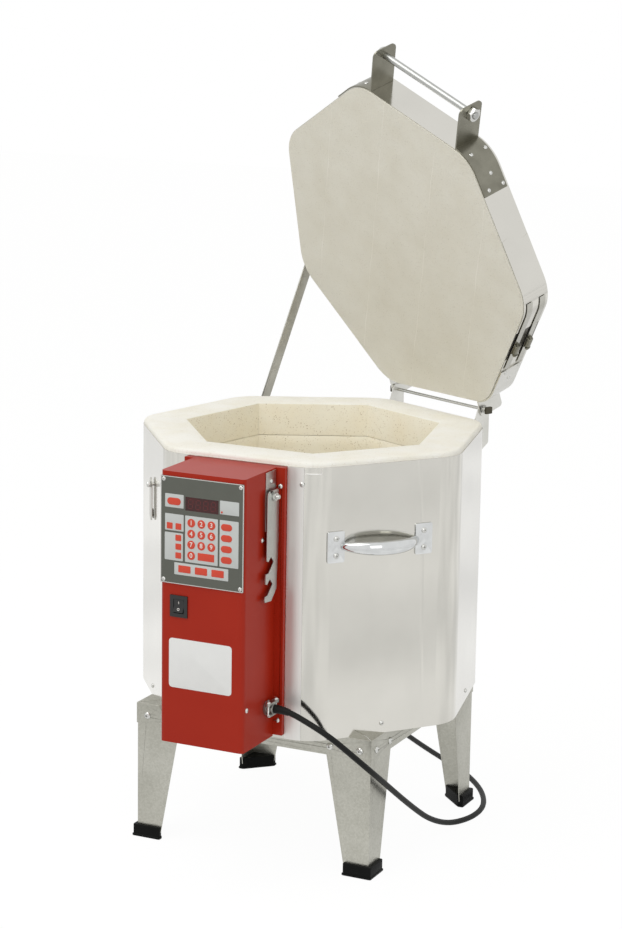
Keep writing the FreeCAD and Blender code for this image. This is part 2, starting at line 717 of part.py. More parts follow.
def base_pan():
    top = "stand_high + pan_lip"
    outer = rounded("pan_outer", PAN_FLAT, PAN_BEND, "stand_high", top)
    inner = rounded("pan_inner", f"{PAN_FLAT} - pan_thick", f"{PAN_BEND} - pan_thick", Z_SLAB, f"{top} + 1")
    return node("base_pan", less("pan", outer, inner, *wall_holes("pan_hole")))


def floor_slab():
    inward = "pan_thick - sheet_fit"
    shape = rounded("slab_block", f"{PAN_FLAT} - {inward}", f"{PAN_BEND} - {inward}", Z_SLAB, Z_WALL)
    return node("floor_slab", less("slab", shape, *wall_holes("slab_hole")))


def wall_course(k):
    name = f"course_{k}"
    low = course_low(k)
    high = course_low(k + 1)
    cutters = [
        prism(name + "_inside", WALL_IN, f"{low} - 1", f"{high} + 1"),
        prism(name + "_groove", f"{WALL_IN} + groove_deep", groove_low(k), f"{groove_low(k)} + groove_high"),
    ]
    for i in range(SIDES):
        cutters.append(
            box(
                f"{name}_joint_{i}",
                ("0 - brick_joint / 2", "brick_joint / 2"),
                (f"0 - {AWAY}", "0"),
                (f"{low} - 1", f"{high} + 1"),
                turned(f"({i} + 0.5) * {TURN}"),
            )
        )
    cutters += wall_holes(name + "_hole")
    cutters += through_holes(name + "_through", [k], k == COURSES - 2)
    block = rounded(name + "_block", WALL_OUT, "bend", low, high)
    return node(f"wall_course_{k + 1}", less(name, block, *cutters))


def element(k):
    name = f"element_{k}"
    flat = f"({WALL_IN} + element_inset)"
    ring = less(
        name + "_ring",
        prism(name + "_outer", f"{flat} + element_size", groove_low(k), f"{groove_low(k)} + element_size"),
        prism(name + "_inner", flat, f"{groove_low(k)} - 1", f"{groove_low(k)} + element_size + 1"),
    )
    tails = [
        rod(
            f"{name}_tail_{i}",
            "tail_size",
            "tail_length",
            placed(tail_x(sign), f"0 - {flat} - element_size / 2", element_z(k), OUTWARD),
        )
        for i, sign in enumerate(("1", "(0 - 1)"))
    ]
    return joined(name, ring, *tails)


base_pan()
floor_slab()
for k in range(COURSES):
    wall_course(k)
node("heating_elements", group("elements", *[element(k) for k in range(COURSES)]))


# Stainless jacket with its screws.
Z_JACKET = f"({Z_RIM} - rim_proud)"


def skin(name, low, high, over="0", thick="jacket_thick", *steps):
    """A rounded seven-sided sheet round the bricks, off the jacket's inside by the given amount."""
    flat = f"({SKIN_IN} + {over})"
    bend = f"(bend + sheet_fit + {over})"
    outer = rounded(name + "_outer", f"{flat} + {thick}", f"{bend} + {thick}", low, high, *steps)
    inner = rounded(name + "_inner", flat, bend, f"({low}) - 1", f"({high}) + 1", *steps)
    return less(name + "_skin", outer, inner)


def jacket():
    cutters = wall_holes("jacket_hole") + through_holes("jacket_through", range(COURSES), True)
    return node("jacket", less("jacket_piece", skin("jacket", "stand_high", Z_JACKET), *cutters))


def sheet_screws(label, spots, extra):
    """One group of round-headed sheet screws; extra is the sheet they go through before the jacket."""
    screws = [
        screw(f"{label}_{i}", "screw_size", f"screw_long + {more}", "screw_head", "screw_head_high", *spot)
        for i, (spot, more) in enumerate(zip(spots, extra))
    ]
    return node(label, group(label + "_set", *screws))


def jacket_screws():
    spots = jacket_screw_spots()
    extra = ["0"] * len(spots)
    for side in EAR_X:
        spots += ear_screw_spots(side)
        extra += ["ear_thick"] * 2
    spots += stud_screw_spots()
    extra += ["plate_thick"] * 2
    return sheet_screws("jacket_screws", spots, extra)


jacket()
jacket_screws()


# Two lifting handles, each a bowed bar between two screwed plates.
GRIP_SIDE = "(handle_span / 2 - grip_in)"
GRIP_R = f"(({GRIP_SIDE} ^ 2 + grip_reach ^ 2) / (2 * grip_reach))"
GRIP_HALF = f"(asin({GRIP_SIDE} / {GRIP_R}) / 1 deg)"


def lifting_handle(label, k):
    outside = (f"0 - {SKIN_OUT} - handle_plate_thick", f"0 - {SKIN_OUT}")
    up = (f"{Z_HANDLE} - handle_plate_high / 2", f"{Z_HANDLE} + handle_plate_high / 2")
    plates = []
    for i, sign in enumerate(("1", "(0 - 1)")):
        middle = f"handle_shift + {sign} * handle_span / 2"
        x = (f"{middle} - handle_plate / 2", f"{middle} + handle_plate / 2")
        plates.append(box(f"{label}_plate_{i}", x, outside, up))
    bar = doc.addObject("Part::Torus", label + "_bar")
    for prop, value in (("Radius1", GRIP_R), ("Radius2", "grip_size / 2"), ("Angle3", f"2 * {GRIP_HALF}")):
        bar.setExpression(prop, bound(value))
    turn = f"rotation(vector(0; 0; 1); 0 - 90 - {GRIP_HALF})"
    place(bar, placed("handle_shift", f"{GRIP_R} - {SKIN_OUT} - grip_reach", Z_HANDLE, turn))
    front = (f"0 - 2 * {AWAY}", f"0 - {SKIN_OUT}")
    clear = box(label + "_front", (f"0 - {AWAY}", f"{AWAY}"), front, WHOLE_HEIGHT)
    holes = []
    for i, spot in enumerate(handle_screw_spots(k)):
        holes.append(hole(f"{label}_hole_{i}", "screw_size", "screw_long", *spot[1:]))
    shape = joined(label + "_body", *plates, shared(label + "_grip", bar, clear))
    return node(label, less(label + "_piece", shape, *holes), facet(k))


for label, k in HANDLE_FACETS.items():
    lifting_handle(label, k)
handle_spots = [spot for k in HANDLE_FACETS.values() for spot in handle_screw_spots(k)]
sheet_screws("handle_screws", handle_spots, ["handle_plate_thick"] * len(handle_spots))


# Hinge: two ears on the jacket, a rod with a push nut at each end, and two plates on the lid band.
SIDEWAYS = "rotation(vector(1; 0 - 1; 0 - 1); 120)"


def low_x(outside, side, thick):
    """The lower x of a plate whose outside face is given."""
    return f"({outside} - {thick})" if side == "left" else f"({outside})"


def upright(name, outline, thick, x_low, k, *bends):
    """A plate across a facet, drawn as (distance outward, height)."""
    return place(plate(name, outline, thick, bends), facet(k), placed(f"{x_low} + {thick}", 0, 0, SIDEWAYS))


def hinge_ear(side):
    name = "hinge_ear_" + side
    top = f"{Z_HINGE} + ear_head"
    outline = [
        (SKIN_OUT, f"{Z_HINGE} - ear_drop"),
        (f"{SKIN_OUT} + ear_reach", f"{Z_HINGE} - ear_drop + ear_taper"),
        (f"{SKIN_OUT} + ear_reach", top),
        ("hinge_out - ear_head", top),
        (SKIN_OUT, Z_JACKET),
    ]
    x_low = low_x(EAR_X[side], side, "ear_thick")
    web = upright(name + "_web", outline, "ear_thick", x_low, HINGE_FACET, (1, 5), (2, 5), (3, 4))
    inner = f"{EAR_X[side]} - {EAR_SIGN[side]} * ear_foot"
    x = (inner, EAR_X[side]) if side == "left" else (EAR_X[side], inner)
    foot = box(
        name + "_foot",
        x,
        (f"0 - {SKIN_OUT} - ear_thick", f"0 - {SKIN_OUT}"),
        (f"{Z_HINGE} - ear_drop", f"{Z_JACKET} - ear_thick"),
        facet(HINGE_FACET),
    )
    clear = rounded(name + "_clear", SKIN_OUT, "bend + sheet_fit + jacket_thick", "0", Z_RIM)
    holes = []
    for i, spot in enumerate(ear_screw_spots(side)):
        holes.append(hole(f"{name}_hole_{i}", "screw_size", "screw_long", *spot))
    pin = rod(
        name + "_pin",
        "hinge_rod_size + 2 * fit",
        f"2 * {AWAY}",
        facet(HINGE_FACET),
        placed(f"0 - {AWAY}", "0 - hinge_out", Z_HINGE, ALONG_X),
    )
    return node(name, less(name + "_piece", joined(name + "_fold", web, foot), clear, pin, *holes))


def hinge_rod():
    left = f"({EAR_X['left']} + tab_gap + plate_thick)"
    right = f"({EAR_X['right']} - tab_gap - plate_thick)"
    at = [f"{right} - rod_over", f"{left} + tab_gap"]
    pieces = [
        rod(
            "hinge_rod_bar",
            "hinge_rod_size",
            f"{left} - {right} + 2 * rod_over",
            facet(HINGE_FACET),
            placed(at[0], "0 - hinge_out", Z_HINGE, ALONG_X),
        )
    ]
    for i, x in enumerate((f"{right} - tab_gap - clip_long", at[1])):
        clip = placed(x, "0 - hinge_out", Z_HINGE, ALONG_X)
        pieces.append(rod(f"hinge_clip_{i}", "clip_size", "clip_long", facet(HINGE_FACET), clip))
    return node("hinge_rod", joined("hinge_rod_piece", *pieces))


for side in EAR_X:
    hinge_ear(side)
hinge_rod()


# Lid: slab, band, hinge plates, handle and fixings, drawn closed and then swung open.
CORNER_AT = f"({SKIN_OUT} * tan({HALF}))"


def rivet(name, *steps):
    """A rivet through a plate and the band: its head outward along its own Z."""
    long = "plate_thick + fit + jacket_thick + 4"
    return screw(name, "rivet_size", long, "rivet_head", "rivet_high", *steps)


def rivet_spots():
    """Rivets of the wrapped feet: hinge plates beside facet 3 and handle brackets beside facet 0."""
    out = f"0 - {SKIN_OUT} - fit - plate_thick"
    spots = []
    for k, foot in ((HINGE_FACET, "tab_foot"), (0, "post_foot")):
        for sign, word in ((1, ""), (-1, "0 - ")):
            for back, rise in (("0", "0"), ("0", "2 * rivet_rise"), ("rivet_step", "rivet_rise")):
                x = f"{word}({foot} - {CORNER_AT} - rivet_in - {back})"
                spots.append([facet(k + sign), placed(x, out, f"{Z_LID} + rivet_low + {rise}", OUTWARD)])
    return spots


def rivet_holes(name):
    return [
        rod(f"{name}_{i}", "rivet_size + 2 * fit", "24", *spot, placed(z="0 - 12"))
        for i, spot in enumerate(rivet_spots())
    ]


def brace_bolt_hole(name):
    at = placed(f"{BRACE_X} - 40", f"0 - {CORNER_OUT}", f"{Z_LID} + brace_up", ALONG_X)
    return rod(name, "brace_pin + 2 * fit", "80", facet(HINGE_FACET), at)


def wrapped(label, k, sign, inside, reach, foot, outline_top, pin_size, pin_out, pin_up):
    """A plate across facet k whose foot follows the lid band round the corner onto the next facet."""
    base = f"({SKIN_OUT} + fit)"
    low = f"({Z_LID} + lid_gap + band_low)"
    high = f"({Z_LID} + bracket_high)"
    end = f"({foot} - {CORNER_AT})"
    if sign > 0:
        x_low, near = inside, (inside, f"{AWAY}")
        beyond = (f"0 - {AWAY}", end)
    else:
        x_low, near = f"({inside} - plate_thick)", (f"0 - {AWAY}", inside)
        beyond = (f"0 - {end}", f"{AWAY}")
    depth = (f"0 - {AWAY} - 100", "0 - 60")
    wrap = shared(
        label + "_wrap",
        skin(label + "_sheet", low, high, "jacket_thick + fit", "plate_thick"),
        box(label + "_near", near, depth, (low, high), facet(k)),
        box(label + "_beyond", beyond, depth, (low, high), facet(k + sign)),
    )
    out = f"({SKIN_OUT} + {reach})"
    outline = [(f"{SKIN_OUT} - 20", low), (out, low), (out, high), (f"{SKIN_OUT} - 20", high)]
    web = upright(label + "_web", outline, "plate_thick", x_low, k, (1, outline_top), (2, outline_top))
    base_bend = "bend + sheet_fit + jacket_thick + fit"
    body = rounded(label + "_clear", base, base_bend, f"{Z_LID} - 5", f"{Z_LID} + 90")
    pin_at = placed(f"0 - {AWAY}", f"0 - ({pin_out})", pin_up, ALONG_X)
    pin = rod(label + "_pin", pin_size, f"2 * {AWAY}", facet(k), pin_at)
    shape = joined(label + "_fold", less(label + "_post", web, body), wrap)
    return node(label, less(label + "_piece", shape, pin, *rivet_holes(label + "_rivet")), OPEN_LID)


ROD_OUT = f"({SKIN_OUT} + rod_out)"
ROD_Z = f"({Z_LID} + bracket_high / 2 + 3)"
for side, sign in (("left", -1), ("right", 1)):
    wrapped(
        "lid_handle_bracket_" + side,
        0,
        sign,
        f"({sign} * handle_post / 2)",
        "post_reach",
        "post_foot",
        9,
        "rod_size + 2 * fit",
        ROD_OUT,
        ROD_Z,
    )
for side, sign in (("left", 1), ("right", -1)):
    wrapped(
        "lid_hinge_plate_" + side,
        HINGE_FACET,
        sign,
        f"({EAR_X[side]} + {sign} * tab_gap)",
        "tab_reach",
        "tab_foot",
        6,
        "hinge_rod_size + 2 * hinge_run",
        "hinge_out",
        Z_HINGE,
    )


def lid_slab():
    block = rounded("lid_block", WALL_OUT, "bend", Z_LID, f"{Z_LID} + lid_thick")
    cutters = rivet_holes("lid_rivet") + [brace_bolt_hole("lid_bolt")]
    return node("lid_slab", less("lid_piece", block, *cutters), OPEN_LID)


def lid_band():
    low = f"({Z_LID} + band_low)"
    high = f"({low} + band_high)"
    gap = box(
        "band_split",
        ("band_gap_at - band_gap / 2", "band_gap_at + band_gap / 2"),
        (f"0 - {AWAY}", "0 - 100"),
        (f"{low} - 1", f"{high} + 1"),
        facet(2),
    )
    cutters = [gap, brace_bolt_hole("band_bolt")] + rivet_holes("band_rivet")
    return node("lid_band", less("band_piece", skin("band", low, high), *cutters), OPEN_LID)


def band_clamps():
    pieces = []
    for i in range(2):
        middle = f"({Z_LID} + strap_low + {i} * strap_step)"
        low = f"{middle} - strap_wide / 2"
        high = f"{middle} + strap_wide / 2"
        strap = shared(
            f"strap_{i}",
            skin(f"strap_{i}_sheet", low, high, "jacket_thick + fit", "strap_thick"),
            box(f"strap_{i}_reach", ("0 - 112", "34"), (f"0 - {AWAY}", "0 - 100"), (low, high), facet(2)),
        )
        face = f"({SKIN_OUT} + fit + strap_thick)"
        ends = ("clamp_at - clamp_long / 2", "clamp_at + clamp_long / 2")
        rise = (f"{middle} - clamp_high / 2", f"{middle} + clamp_high / 2")
        house = box(f"clamp_{i}_house", ends, (f"0 - {face} - clamp_screw", f"0 - {face}"), rise, facet(2))
        turn = placed("clamp_at - clamp_long / 2 - 2", f"0 - {face} - clamp_screw / 2", middle, ALONG_X)
        worm = rod(f"clamp_{i}_worm", "clamp_screw", "clamp_screw_long", facet(2), turn)
        pieces.append(joined(f"clamp_{i}", strap, house, worm))
    return node("band_clamps", group("band_clamp_set", *pieces), OPEN_LID)


def lid_handle_rod():
    half = "(handle_post / 2 + plate_thick + nut_thick + rod_end)"
    at = placed(f"0 - {half}", f"0 - {ROD_OUT}", ROD_Z, ALONG_X)
    return node("lid_handle_rod", rod("handle_rod_bar", "rod_size", f"2 * {half}"), OPEN_LID, at)


def lid_handle_nuts():
    nuts = []
    outside = "handle_post / 2 + plate_thick"
    for i, x in enumerate((outside, f"0 - ({outside}) - nut_thick")):
        nut = doc.addObject("Part::Prism", f"handle_nut_{i}_hex")
        nut.Polygon = 6
        nut.setExpression("Circumradius", bound("nut_across / 2 / cos(30 deg)"))
        nut.setExpression("Height", bound("nut_thick"))
        bore = rod(f"handle_nut_{i}_bore", "rod_size + 2 * fit", "3 * nut_thick", placed(z="0 - nut_thick"))
        nuts.append(place(less(f"handle_nut_{i}", nut, bore), placed(x, f"0 - {ROD_OUT}", ROD_Z, ALONG_X)))
    return node("lid_handle_nuts", group("handle_nut_set", *nuts), OPEN_LID)


def lid_fixings():
    pieces = [rivet(f"rivet_{i}", *spot) for i, spot in enumerate(rivet_spots())]
    long = "brace_gap + brace_thick + fit + 20"
    at = placed(f"{BRACE_X} + brace_thick + fit", f"0 - {CORNER_OUT}", f"{Z_LID} + brace_up", ALONG_X)
    turn = facet(HINGE_FACET)
    pieces.append(screw("brace_bolt", "brace_pin", long, "pin_head", "pin_head_high", turn, at))
    return node("lid_fixings", group("lid_fixing_set", *pieces), OPEN_LID)


lid_slab()
lid_band()
band_clamps()
lid_handle_rod()
lid_handle_nuts()
lid_fixings()


# Lid brace: a notched strip on the lid's side that stands on a stud of the jacket.
def lid_brace():
    end = "0 - brace_long - brace_tail"
    strip = joined(
        "brace_strip",
        box("brace_flat", ("0 - brace_wide / 2", "brace_wide / 2"), (end, "0"), (0, "brace_thick")),
        rod("brace_top", "brace_wide", "brace_thick"),
        rod("brace_end", "brace_wide", "brace_thick", placed(y=end)),
    )
    slot = "(brace_pin / 2 + notch_fit)"
    cutters = [
        rod("brace_eye", "brace_pin + 2 * hinge_run", "3 * brace_thick", placed(z="0 - brace_thick")),
        rod(
            "brace_notch",
            f"2 * {slot}",
            "3 * brace_thick",
            placed(y="0 - brace_long", z="0 - brace_thick"),
        ),
        box(
            "brace_mouth",
            ("0", "brace_wide"),
            (f"0 - brace_long - {slot}", f"{slot} - brace_long"),
            ("0 - brace_thick", "2 * brace_thick"),
        ),
    ]
    at = placed(f"{BRACE_X} + brace_thick", f"0 - {PIVOT_OUT}", PIVOT_Z, SIDEWAYS)
    shape = less("brace_piece", strip, *cutters)
    return node("lid_brace", shape, facet(HINGE_FACET), at, turned("0 - brace_lean"))


def support_stud():
    edge = f"({STUD_EDGE})"
    foot = box(
        "stud_foot",
        (f"{edge} - stud_plate", edge),
        (f"0 - {SKIN_OUT} - plate_thick", f"0 - {SKIN_OUT}"),
        (f"{STUD_Z} - stud_plate_high / 2", f"{STUD_Z} + stud_plate_high / 2"),
        facet(BRACE_CORNER),
    )
    start = f"({BRACE_X} - 60)"
    face = f"({BRACE_X} + brace_thick + sheet_fit)"
    along = facet(HINGE_FACET)
    pin_at = placed(start, f"0 - {STUD_OUT}", STUD_Z, ALONG_X)
    pin = rod("stud_pin", "brace_pin", f"{face} - {start} + 1", along, pin_at)
    head_at = placed(face, f"0 - {STUD_OUT}", STUD_Z, ALONG_X)
    head = rod("stud_head", "pin_head", "pin_head_high", along, head_at)
    front = box(
        "stud_front",
        (f"0 - {AWAY}", f"{AWAY}"),
        (f"0 - 2 * {AWAY}", f"0 - {SKIN_OUT}"),
        WHOLE_HEIGHT,
        facet(BRACE_CORNER),
    )
    holes = []
    for i, spot in enumerate(stud_screw_spots()):
        holes.append(hole(f"stud_hole_{i}", "screw_size", "screw_long", *spot))
    shape = joined("stud_body", foot, shared("stud_pin_cut", pin, front), head)
    return node("support_stud", less("stud_piece", shape, *holes))


lid_brace()
support_stud()


# Peephole flap on a shouldered screw.
def flap_step(off):
    return [facet(PEEP_FACET), placed(0, f"0 - {SKIN_OUT} - {off}", Z_FLAP, OUTWARD)]


def peephole_cover():
    strip = joined(
        "flap_strip",
        box("flap_flat", ("0 - flap_wide / 2", "flap_wide / 2"), ("0 - flap_arm", "0"), (0, "flap_thick")),
        rod("flap_top", "flap_wide", "flap_thick"),
        rod("flap_end", "flap_wide", "flap_thick", placed(y="0 - flap_arm")),
    )
    eye = rod("flap_eye", "flap_screw + 2 * hinge_run", "3 * flap_thick", placed(z="0 - flap_thick"))
    return node("peephole_cover", less("flap_piece", strip, eye), *flap_step("flap_off"))


def peephole_screw():
    head = "(flap_off + flap_thick + fit)"
    shape = joined(
        "flap_screw_piece",
        rod("flap_screw_shank", "flap_screw", f"screw_long + {head} + 1", placed(z="0 - screw_long")),
        rod("flap_screw_collar", "flap_screw + 4", "flap_off - sheet_fit"),
        rod("flap_screw_head", "flap_knob", "6", placed(z=head)),
    )
    return node("peephole_screw", shape, *flap_step("0"))


peephole_cover()
peephole_screw()


# Control box: back plate standing on the jacket, cover, panel with keys and display, and what is inside.
BOX_X = ("(box_shift - box_wide / 2)", "(box_shift + box_wide / 2)")
COVER_Y = f"({BACK_Y} + box_wall)"


def box_screw_spots():
    """Screws in the cover's two sides."""
    spots = []
    for x, turn in ((BOX_X[1], ALONG_X), (BOX_X[0], "rotation(vector(0; 1; 0); 0 - 90)")):
        spots.append(placed(x, "54 - box_front", f"{Z_BOX_TOP} - 95.5", turn))
        spots.append(placed(x, "11 - box_front", f"{Z_BOX} + 60", turn))
    return spots


def control_box_back():
    z = (f"{Z_BOX} + 2", f"{Z_BOX_TOP}")
    pan = less(
        "back_pan",
        box("back_block", (BACK_LEFT, BACK_RIGHT), (f"0 - {COVER_Y}", f"0 - {SKIN_OUT}"), z),
        box(
            "back_inside",
            (f"{BACK_LEFT} + box_wall", f"{BACK_RIGHT} - box_wall"),
            (f"0 - {BACK_Y}", f"1 - {SKIN_OUT}"),
            (f"{z[0]} + box_wall", f"{z[1]} - box_wall"),
        ),
    )
    cutters = through_holes("back_through", range(COURSES), False)
    for i, spot in enumerate(box_flange_spots()):
        cutters.append(hole(f"back_hole_{i}", "screw_size", "screw_long + back_stand", spot))
    return node("control_box_back", less("back_piece", pan, *cutters))


PANEL_X = ("(box_shift - panel_wide / 2)", "(box_shift + panel_wide / 2)")
PANEL_Z = (f"({Z_BOX_TOP} - panel_drop - panel_high)", f"({Z_BOX_TOP} - panel_drop)")
PANEL_Y = "(box_front + panel_thick)"
WINDOW_Z = (f"({PANEL_Z[1]} - window_drop - window_high)", f"({PANEL_Z[1]} - window_drop)")
SWITCH_X = f"({BOX_X[0]} + switch_left)"
SWITCH_Z = f"({Z_BOX_TOP} - switch_drop)"
ROCKER_Y = "(rocker_face - box_front - switch_lip)"
CLAMP_Z = "(stand_high + clamp_up)"
STRIP_Z = f"({Z_BOX_TOP} - strip_drop)"
PROP_Z = f"({Z_BOX_TOP} - prop_drop)"


def panel_screw_spots():
    return [
        placed(x, f"0 - {PANEL_Y}", z, OUTWARD)
        for x in (f"{PANEL_X[0]} + panel_screw_in", f"{PANEL_X[1]} - panel_screw_in")
        for z in (f"{PANEL_Z[0]} + panel_screw_in", f"{PANEL_Z[1]} - panel_screw_in")
    ]


def strip_screw_spot():
    return placed(f"{BOX_X[1]} + strip_thick", "0 - strip_y", f"{STRIP_Z} - 14", ALONG_X)


def control_box_cover():
    def front_edge(e):
        along = abs(e.Vertexes[0].Z - e.Vertexes[-1].Z) > number("box_high") / 2
        return along and e.CenterOfMass.y < number("box_bend - box_front")

    outer = box("cover_outer", BOX_X, ("0 - box_front", f"0 - {COVER_Y}"), (Z_BOX, Z_BOX_TOP))
    inner = box(
        "cover_inner",
        (f"{BOX_X[0]} + box_wall", f"{BOX_X[1]} - box_wall"),
        ("box_wall - box_front", f"1 - {COVER_Y}"),
        (f"{Z_BOX} + box_wall", f"{Z_BOX_TOP} - box_wall"),
    )
    cord_at = placed(f"{BOX_X[1]} - 10", "0 - clamp_y", CLAMP_Z, ALONG_X)
    cutters = [
        smooth("cover_hollow", inner, "box_bend - box_wall", front_edge),
        box(
            "cover_panel_hole",
            (f"{PANEL_X[0]} + 10", f"{PANEL_X[1]} - 10"),
            ("0 - box_front - 9", "9 - box_front"),
            (f"{PANEL_Z[0]} + 10", f"{PANEL_Z[1]} - 10"),
        ),
        box(
            "cover_switch_hole",
            (f"{SWITCH_X} - switch_wide / 2 + 2", f"{SWITCH_X} + switch_wide / 2 - 2"),
            ("0 - box_front - 9", "9 - box_front"),
            (f"{SWITCH_Z} - switch_high / 2 + 2", f"{SWITCH_Z} + switch_high / 2 - 2"),
        ),
        rod("cover_cord_hole", "clamp_bore + 6", "20", cord_at),
        hole("cover_strip_hole", "screw_size", "screw_long", strip_screw_spot()),
        hole("cover_prop_hole", "prop_pin", "10", placed(BOX_X[1], "0 - prop_y", PROP_Z, ALONG_X)),
    ]
    for i, spot in enumerate(panel_screw_spots()):
        cutters.append(hole(f"cover_panel_{i}", "panel_screw", "screw_long", spot))
    for i, spot in enumerate(box_screw_spots()):
        cutters.append(hole(f"cover_side_{i}", "screw_size", "screw_long", spot))
    shell = smooth("cover_shell", outer, "box_bend", front_edge)
    return node("control_box_cover", less("cover_piece", shell, *cutters))


def control_box_screws():
    pieces = []
    for i, spot in enumerate(box_flange_spots()):
        long = "screw_long + back_stand + box_wall"
        pieces.append(screw(f"flange_screw_{i}", "screw_size", long, "screw_head", "screw_head_high", spot))
    for i, spot in enumerate(box_screw_spots()):
        long = "screw_long"
        pieces.append(screw(f"side_screw_{i}", "screw_size", long, "screw_head", "screw_head_high", spot))
    return node("control_box_screws", group("box_screw_set", *pieces))


def control_panel():
    block = box("panel_block", PANEL_X, (f"0 - {PANEL_Y}", "0 - box_front"), PANEL_Z)
    window = box(
        "panel_window",
        ("box_shift - window_wide / 2 - fit", "box_shift + window_wide / 2 + fit"),
        (f"0 - {PANEL_Y} - 1", "1 - box_front"),
        (f"{WINDOW_Z[0]} - fit", f"{WINDOW_Z[1]} + fit"),
    )
    holes = []
    for i, spot in enumerate(panel_screw_spots()):
        holes.append(hole(f"panel_hole_{i}", "panel_screw", "screw_long", spot))
    return node("control_panel", less("panel_piece", block, window, *holes))


def display_window():
    x = ("box_shift - window_wide / 2", "box_shift + window_wide / 2")
    glass = box("window_glass", x, (f"0 - {PANEL_Y}", "0 - box_front"), WINDOW_Z)
    module = box(
        "window_module",
        (f"{x[0]} - 3", f"{x[1]} + 3"),
        ("0 - box_front", "9 - box_front"),
        (f"{WINDOW_Z[0]} - 3", f"{WINDOW_Z[1]} + 3"),
    )
    return node("display_window", joined("window_piece", glass, module))


def panel_screws():
    pieces = [
        screw(f"panel_screw_{i}", "panel_screw", "screw_long", "2 * panel_screw", "1.4", spot)
        for i, spot in enumerate(panel_screw_spots())
    ]
    return node("panel_screws", group("panel_screw_set", *pieces))


def pad(name, x0, x1, z0, z1, keys):
    """One raised keypad block. Its x is from the panel's middle and its z down from the panel's top;
    each key is (x, z, width, height), and one as wide as high is round."""
    face = f"({PANEL_Y} + block_thick)"
    block = box(
        name,
        (f"box_shift + {x0}", f"box_shift + {x1}"),
        (f"0 - {face}", f"0 - {PANEL_Y}"),
        (f"{PANEL_Z[1]} - {z0}", f"{PANEL_Z[1]} - {z1}"),
    )
    parts = []
    for i, (x, z, wide, high) in enumerate(keys):
        middle = f"({PANEL_Z[1]} - {z})"
        if wide == high:
            at = placed(f"box_shift + {x}", f"0 - {face}", middle, OUTWARD)
            parts.append(rod(f"{name}_key_{i}", wide, "key_high", at))
        else:
            parts.append(
                box(
                    f"{name}_key_{i}",
                    (f"box_shift + {x} - {wide} / 2", f"box_shift + {x} + {wide} / 2"),
                    (f"0 - {face} - key_high", f"0 - {face}"),
                    (f"{middle} - {high} / 2", f"{middle} + {high} / 2"),
                )
            )
    return joined(name + "_block", block, *parts)


def keypad():
    first = "62.3"
    digits = []
    for r in range(3):
        for c in range(3):
            digits.append((f"({c} * key_step - 16)", f"({first} + {r} * key_rise)", "key_size", "key_size"))
    last_row = f"({first} + 3 * key_rise)"
    digits.append(("(0 - 16)", last_row, "key_size", "key_size"))
    digits.append(("7", last_row, "(key_size + key_step - 2)", "(key_size - 1.5)"))
    steps = [("38.4", f"({first} + {r} * key_rise)", "17", "9.5") for r in range(4)]
    modes = [(x, "69.5", "9", "8.9") for x in ("(0 - 49.6)", "(0 - 36)")]
    curves = [("(0 - 36)", z, "9", "8.5") for z in ("85.5", "98", "110.4")]
    options = [(x, "128.8", "19", "10") for x in ("(0 - 26.3)", "(0 - 0.5)", "25.2")]
    blocks = [
        pad("pad_digits", "(0 - 25.6)", "25", "118", "52.5", digits),
        pad("pad_steps", "27.8", "56.8", "118", "52.5", steps),
        pad("pad_modes", "(0 - 57)", "(0 - 28)", "76", "52.5", modes),
        pad("pad_curves", "(0 - 57.4)", "(0 - 29)", "118", "78.9", curves),
        pad("pad_options", "(0 - 42.2)", "41.5", "137.5", "120.5", options),
        pad("pad_sign", "(0 - 57)", "(0 - 28.2)", "43.5", "24.5", [("(0 - 43)", "34.7", "21", "10")]),
        pad("pad_lamp", "28", "57.2", "44.5", "25.5", [("30.9", "41.7", "3", "3")]),
    ]
    return node("keypad", group("keypad_set", *blocks))


def switch_housing():
    x = (f"{SWITCH_X} - switch_wide / 2", f"{SWITCH_X} + switch_wide / 2")
    z = (f"{SWITCH_Z} - switch_high / 2", f"{SWITCH_Z} + switch_high / 2")
    frame = box("switch_frame", x, ("0 - box_front - switch_lip", "0 - box_front"), z)
    can = box(
        "switch_can",
        (f"{x[0]} + 2.1", f"{x[1]} - 2.1"),
        ("0 - box_front", "switch_deep - box_front"),
        (f"{z[0]} + 2.1", f"{z[1]} - 2.1"),
    )
    pocket = box(
        "switch_pocket",
        (f"{x[0]} + switch_edge", f"{x[1]} - switch_edge"),
        ("0 - box_front - switch_lip - 1", "12 - box_front - switch_lip"),
        (f"{z[0]} + switch_edge", f"{z[1]} - switch_edge"),
    )
    sockets = rod(
        "switch_sockets",
        "rocker_pin + 2 * hinge_run",
        "switch_wide - 2 * switch_edge + 2 * rocker_pin_in + 2 * fit",
        placed(f"{x[0]} + switch_edge - rocker_pin_in - fit", ROCKER_Y, SWITCH_Z, ALONG_X),
    )
    return node("switch_housing", less("switch_piece", joined("switch_body", frame, can), pocket, sockets))


def rocker():
    half = "(switch_high / 2 - switch_edge - 1)"
    outline = [
        ("rocker_face - 1", "0"),
        ("rocker_face + 1", half),
        ("0 - 5", f"{half} - 1"),
        ("0 - 5", f"1 - {half}"),
        ("rocker_face + 1", f"0 - {half}"),
    ]
    wide = "(switch_wide - 2 * switch_edge - 2 * rocker_gap)"
    pin_long = f"({wide} + 2 * rocker_gap + 2 * rocker_pin_in)"
    pins = rod("rocker_pins", "rocker_pin", pin_long, placed(z=f"({wide} - {pin_long}) / 2"))
    at = placed(f"{SWITCH_X} + {wide} / 2", ROCKER_Y, SWITCH_Z, SIDEWAYS)
    shape = joined("rocker_piece", plate("rocker_body", outline, wide), pins)
    return node("rocker", shape, at, turned("rocker_tilt"))


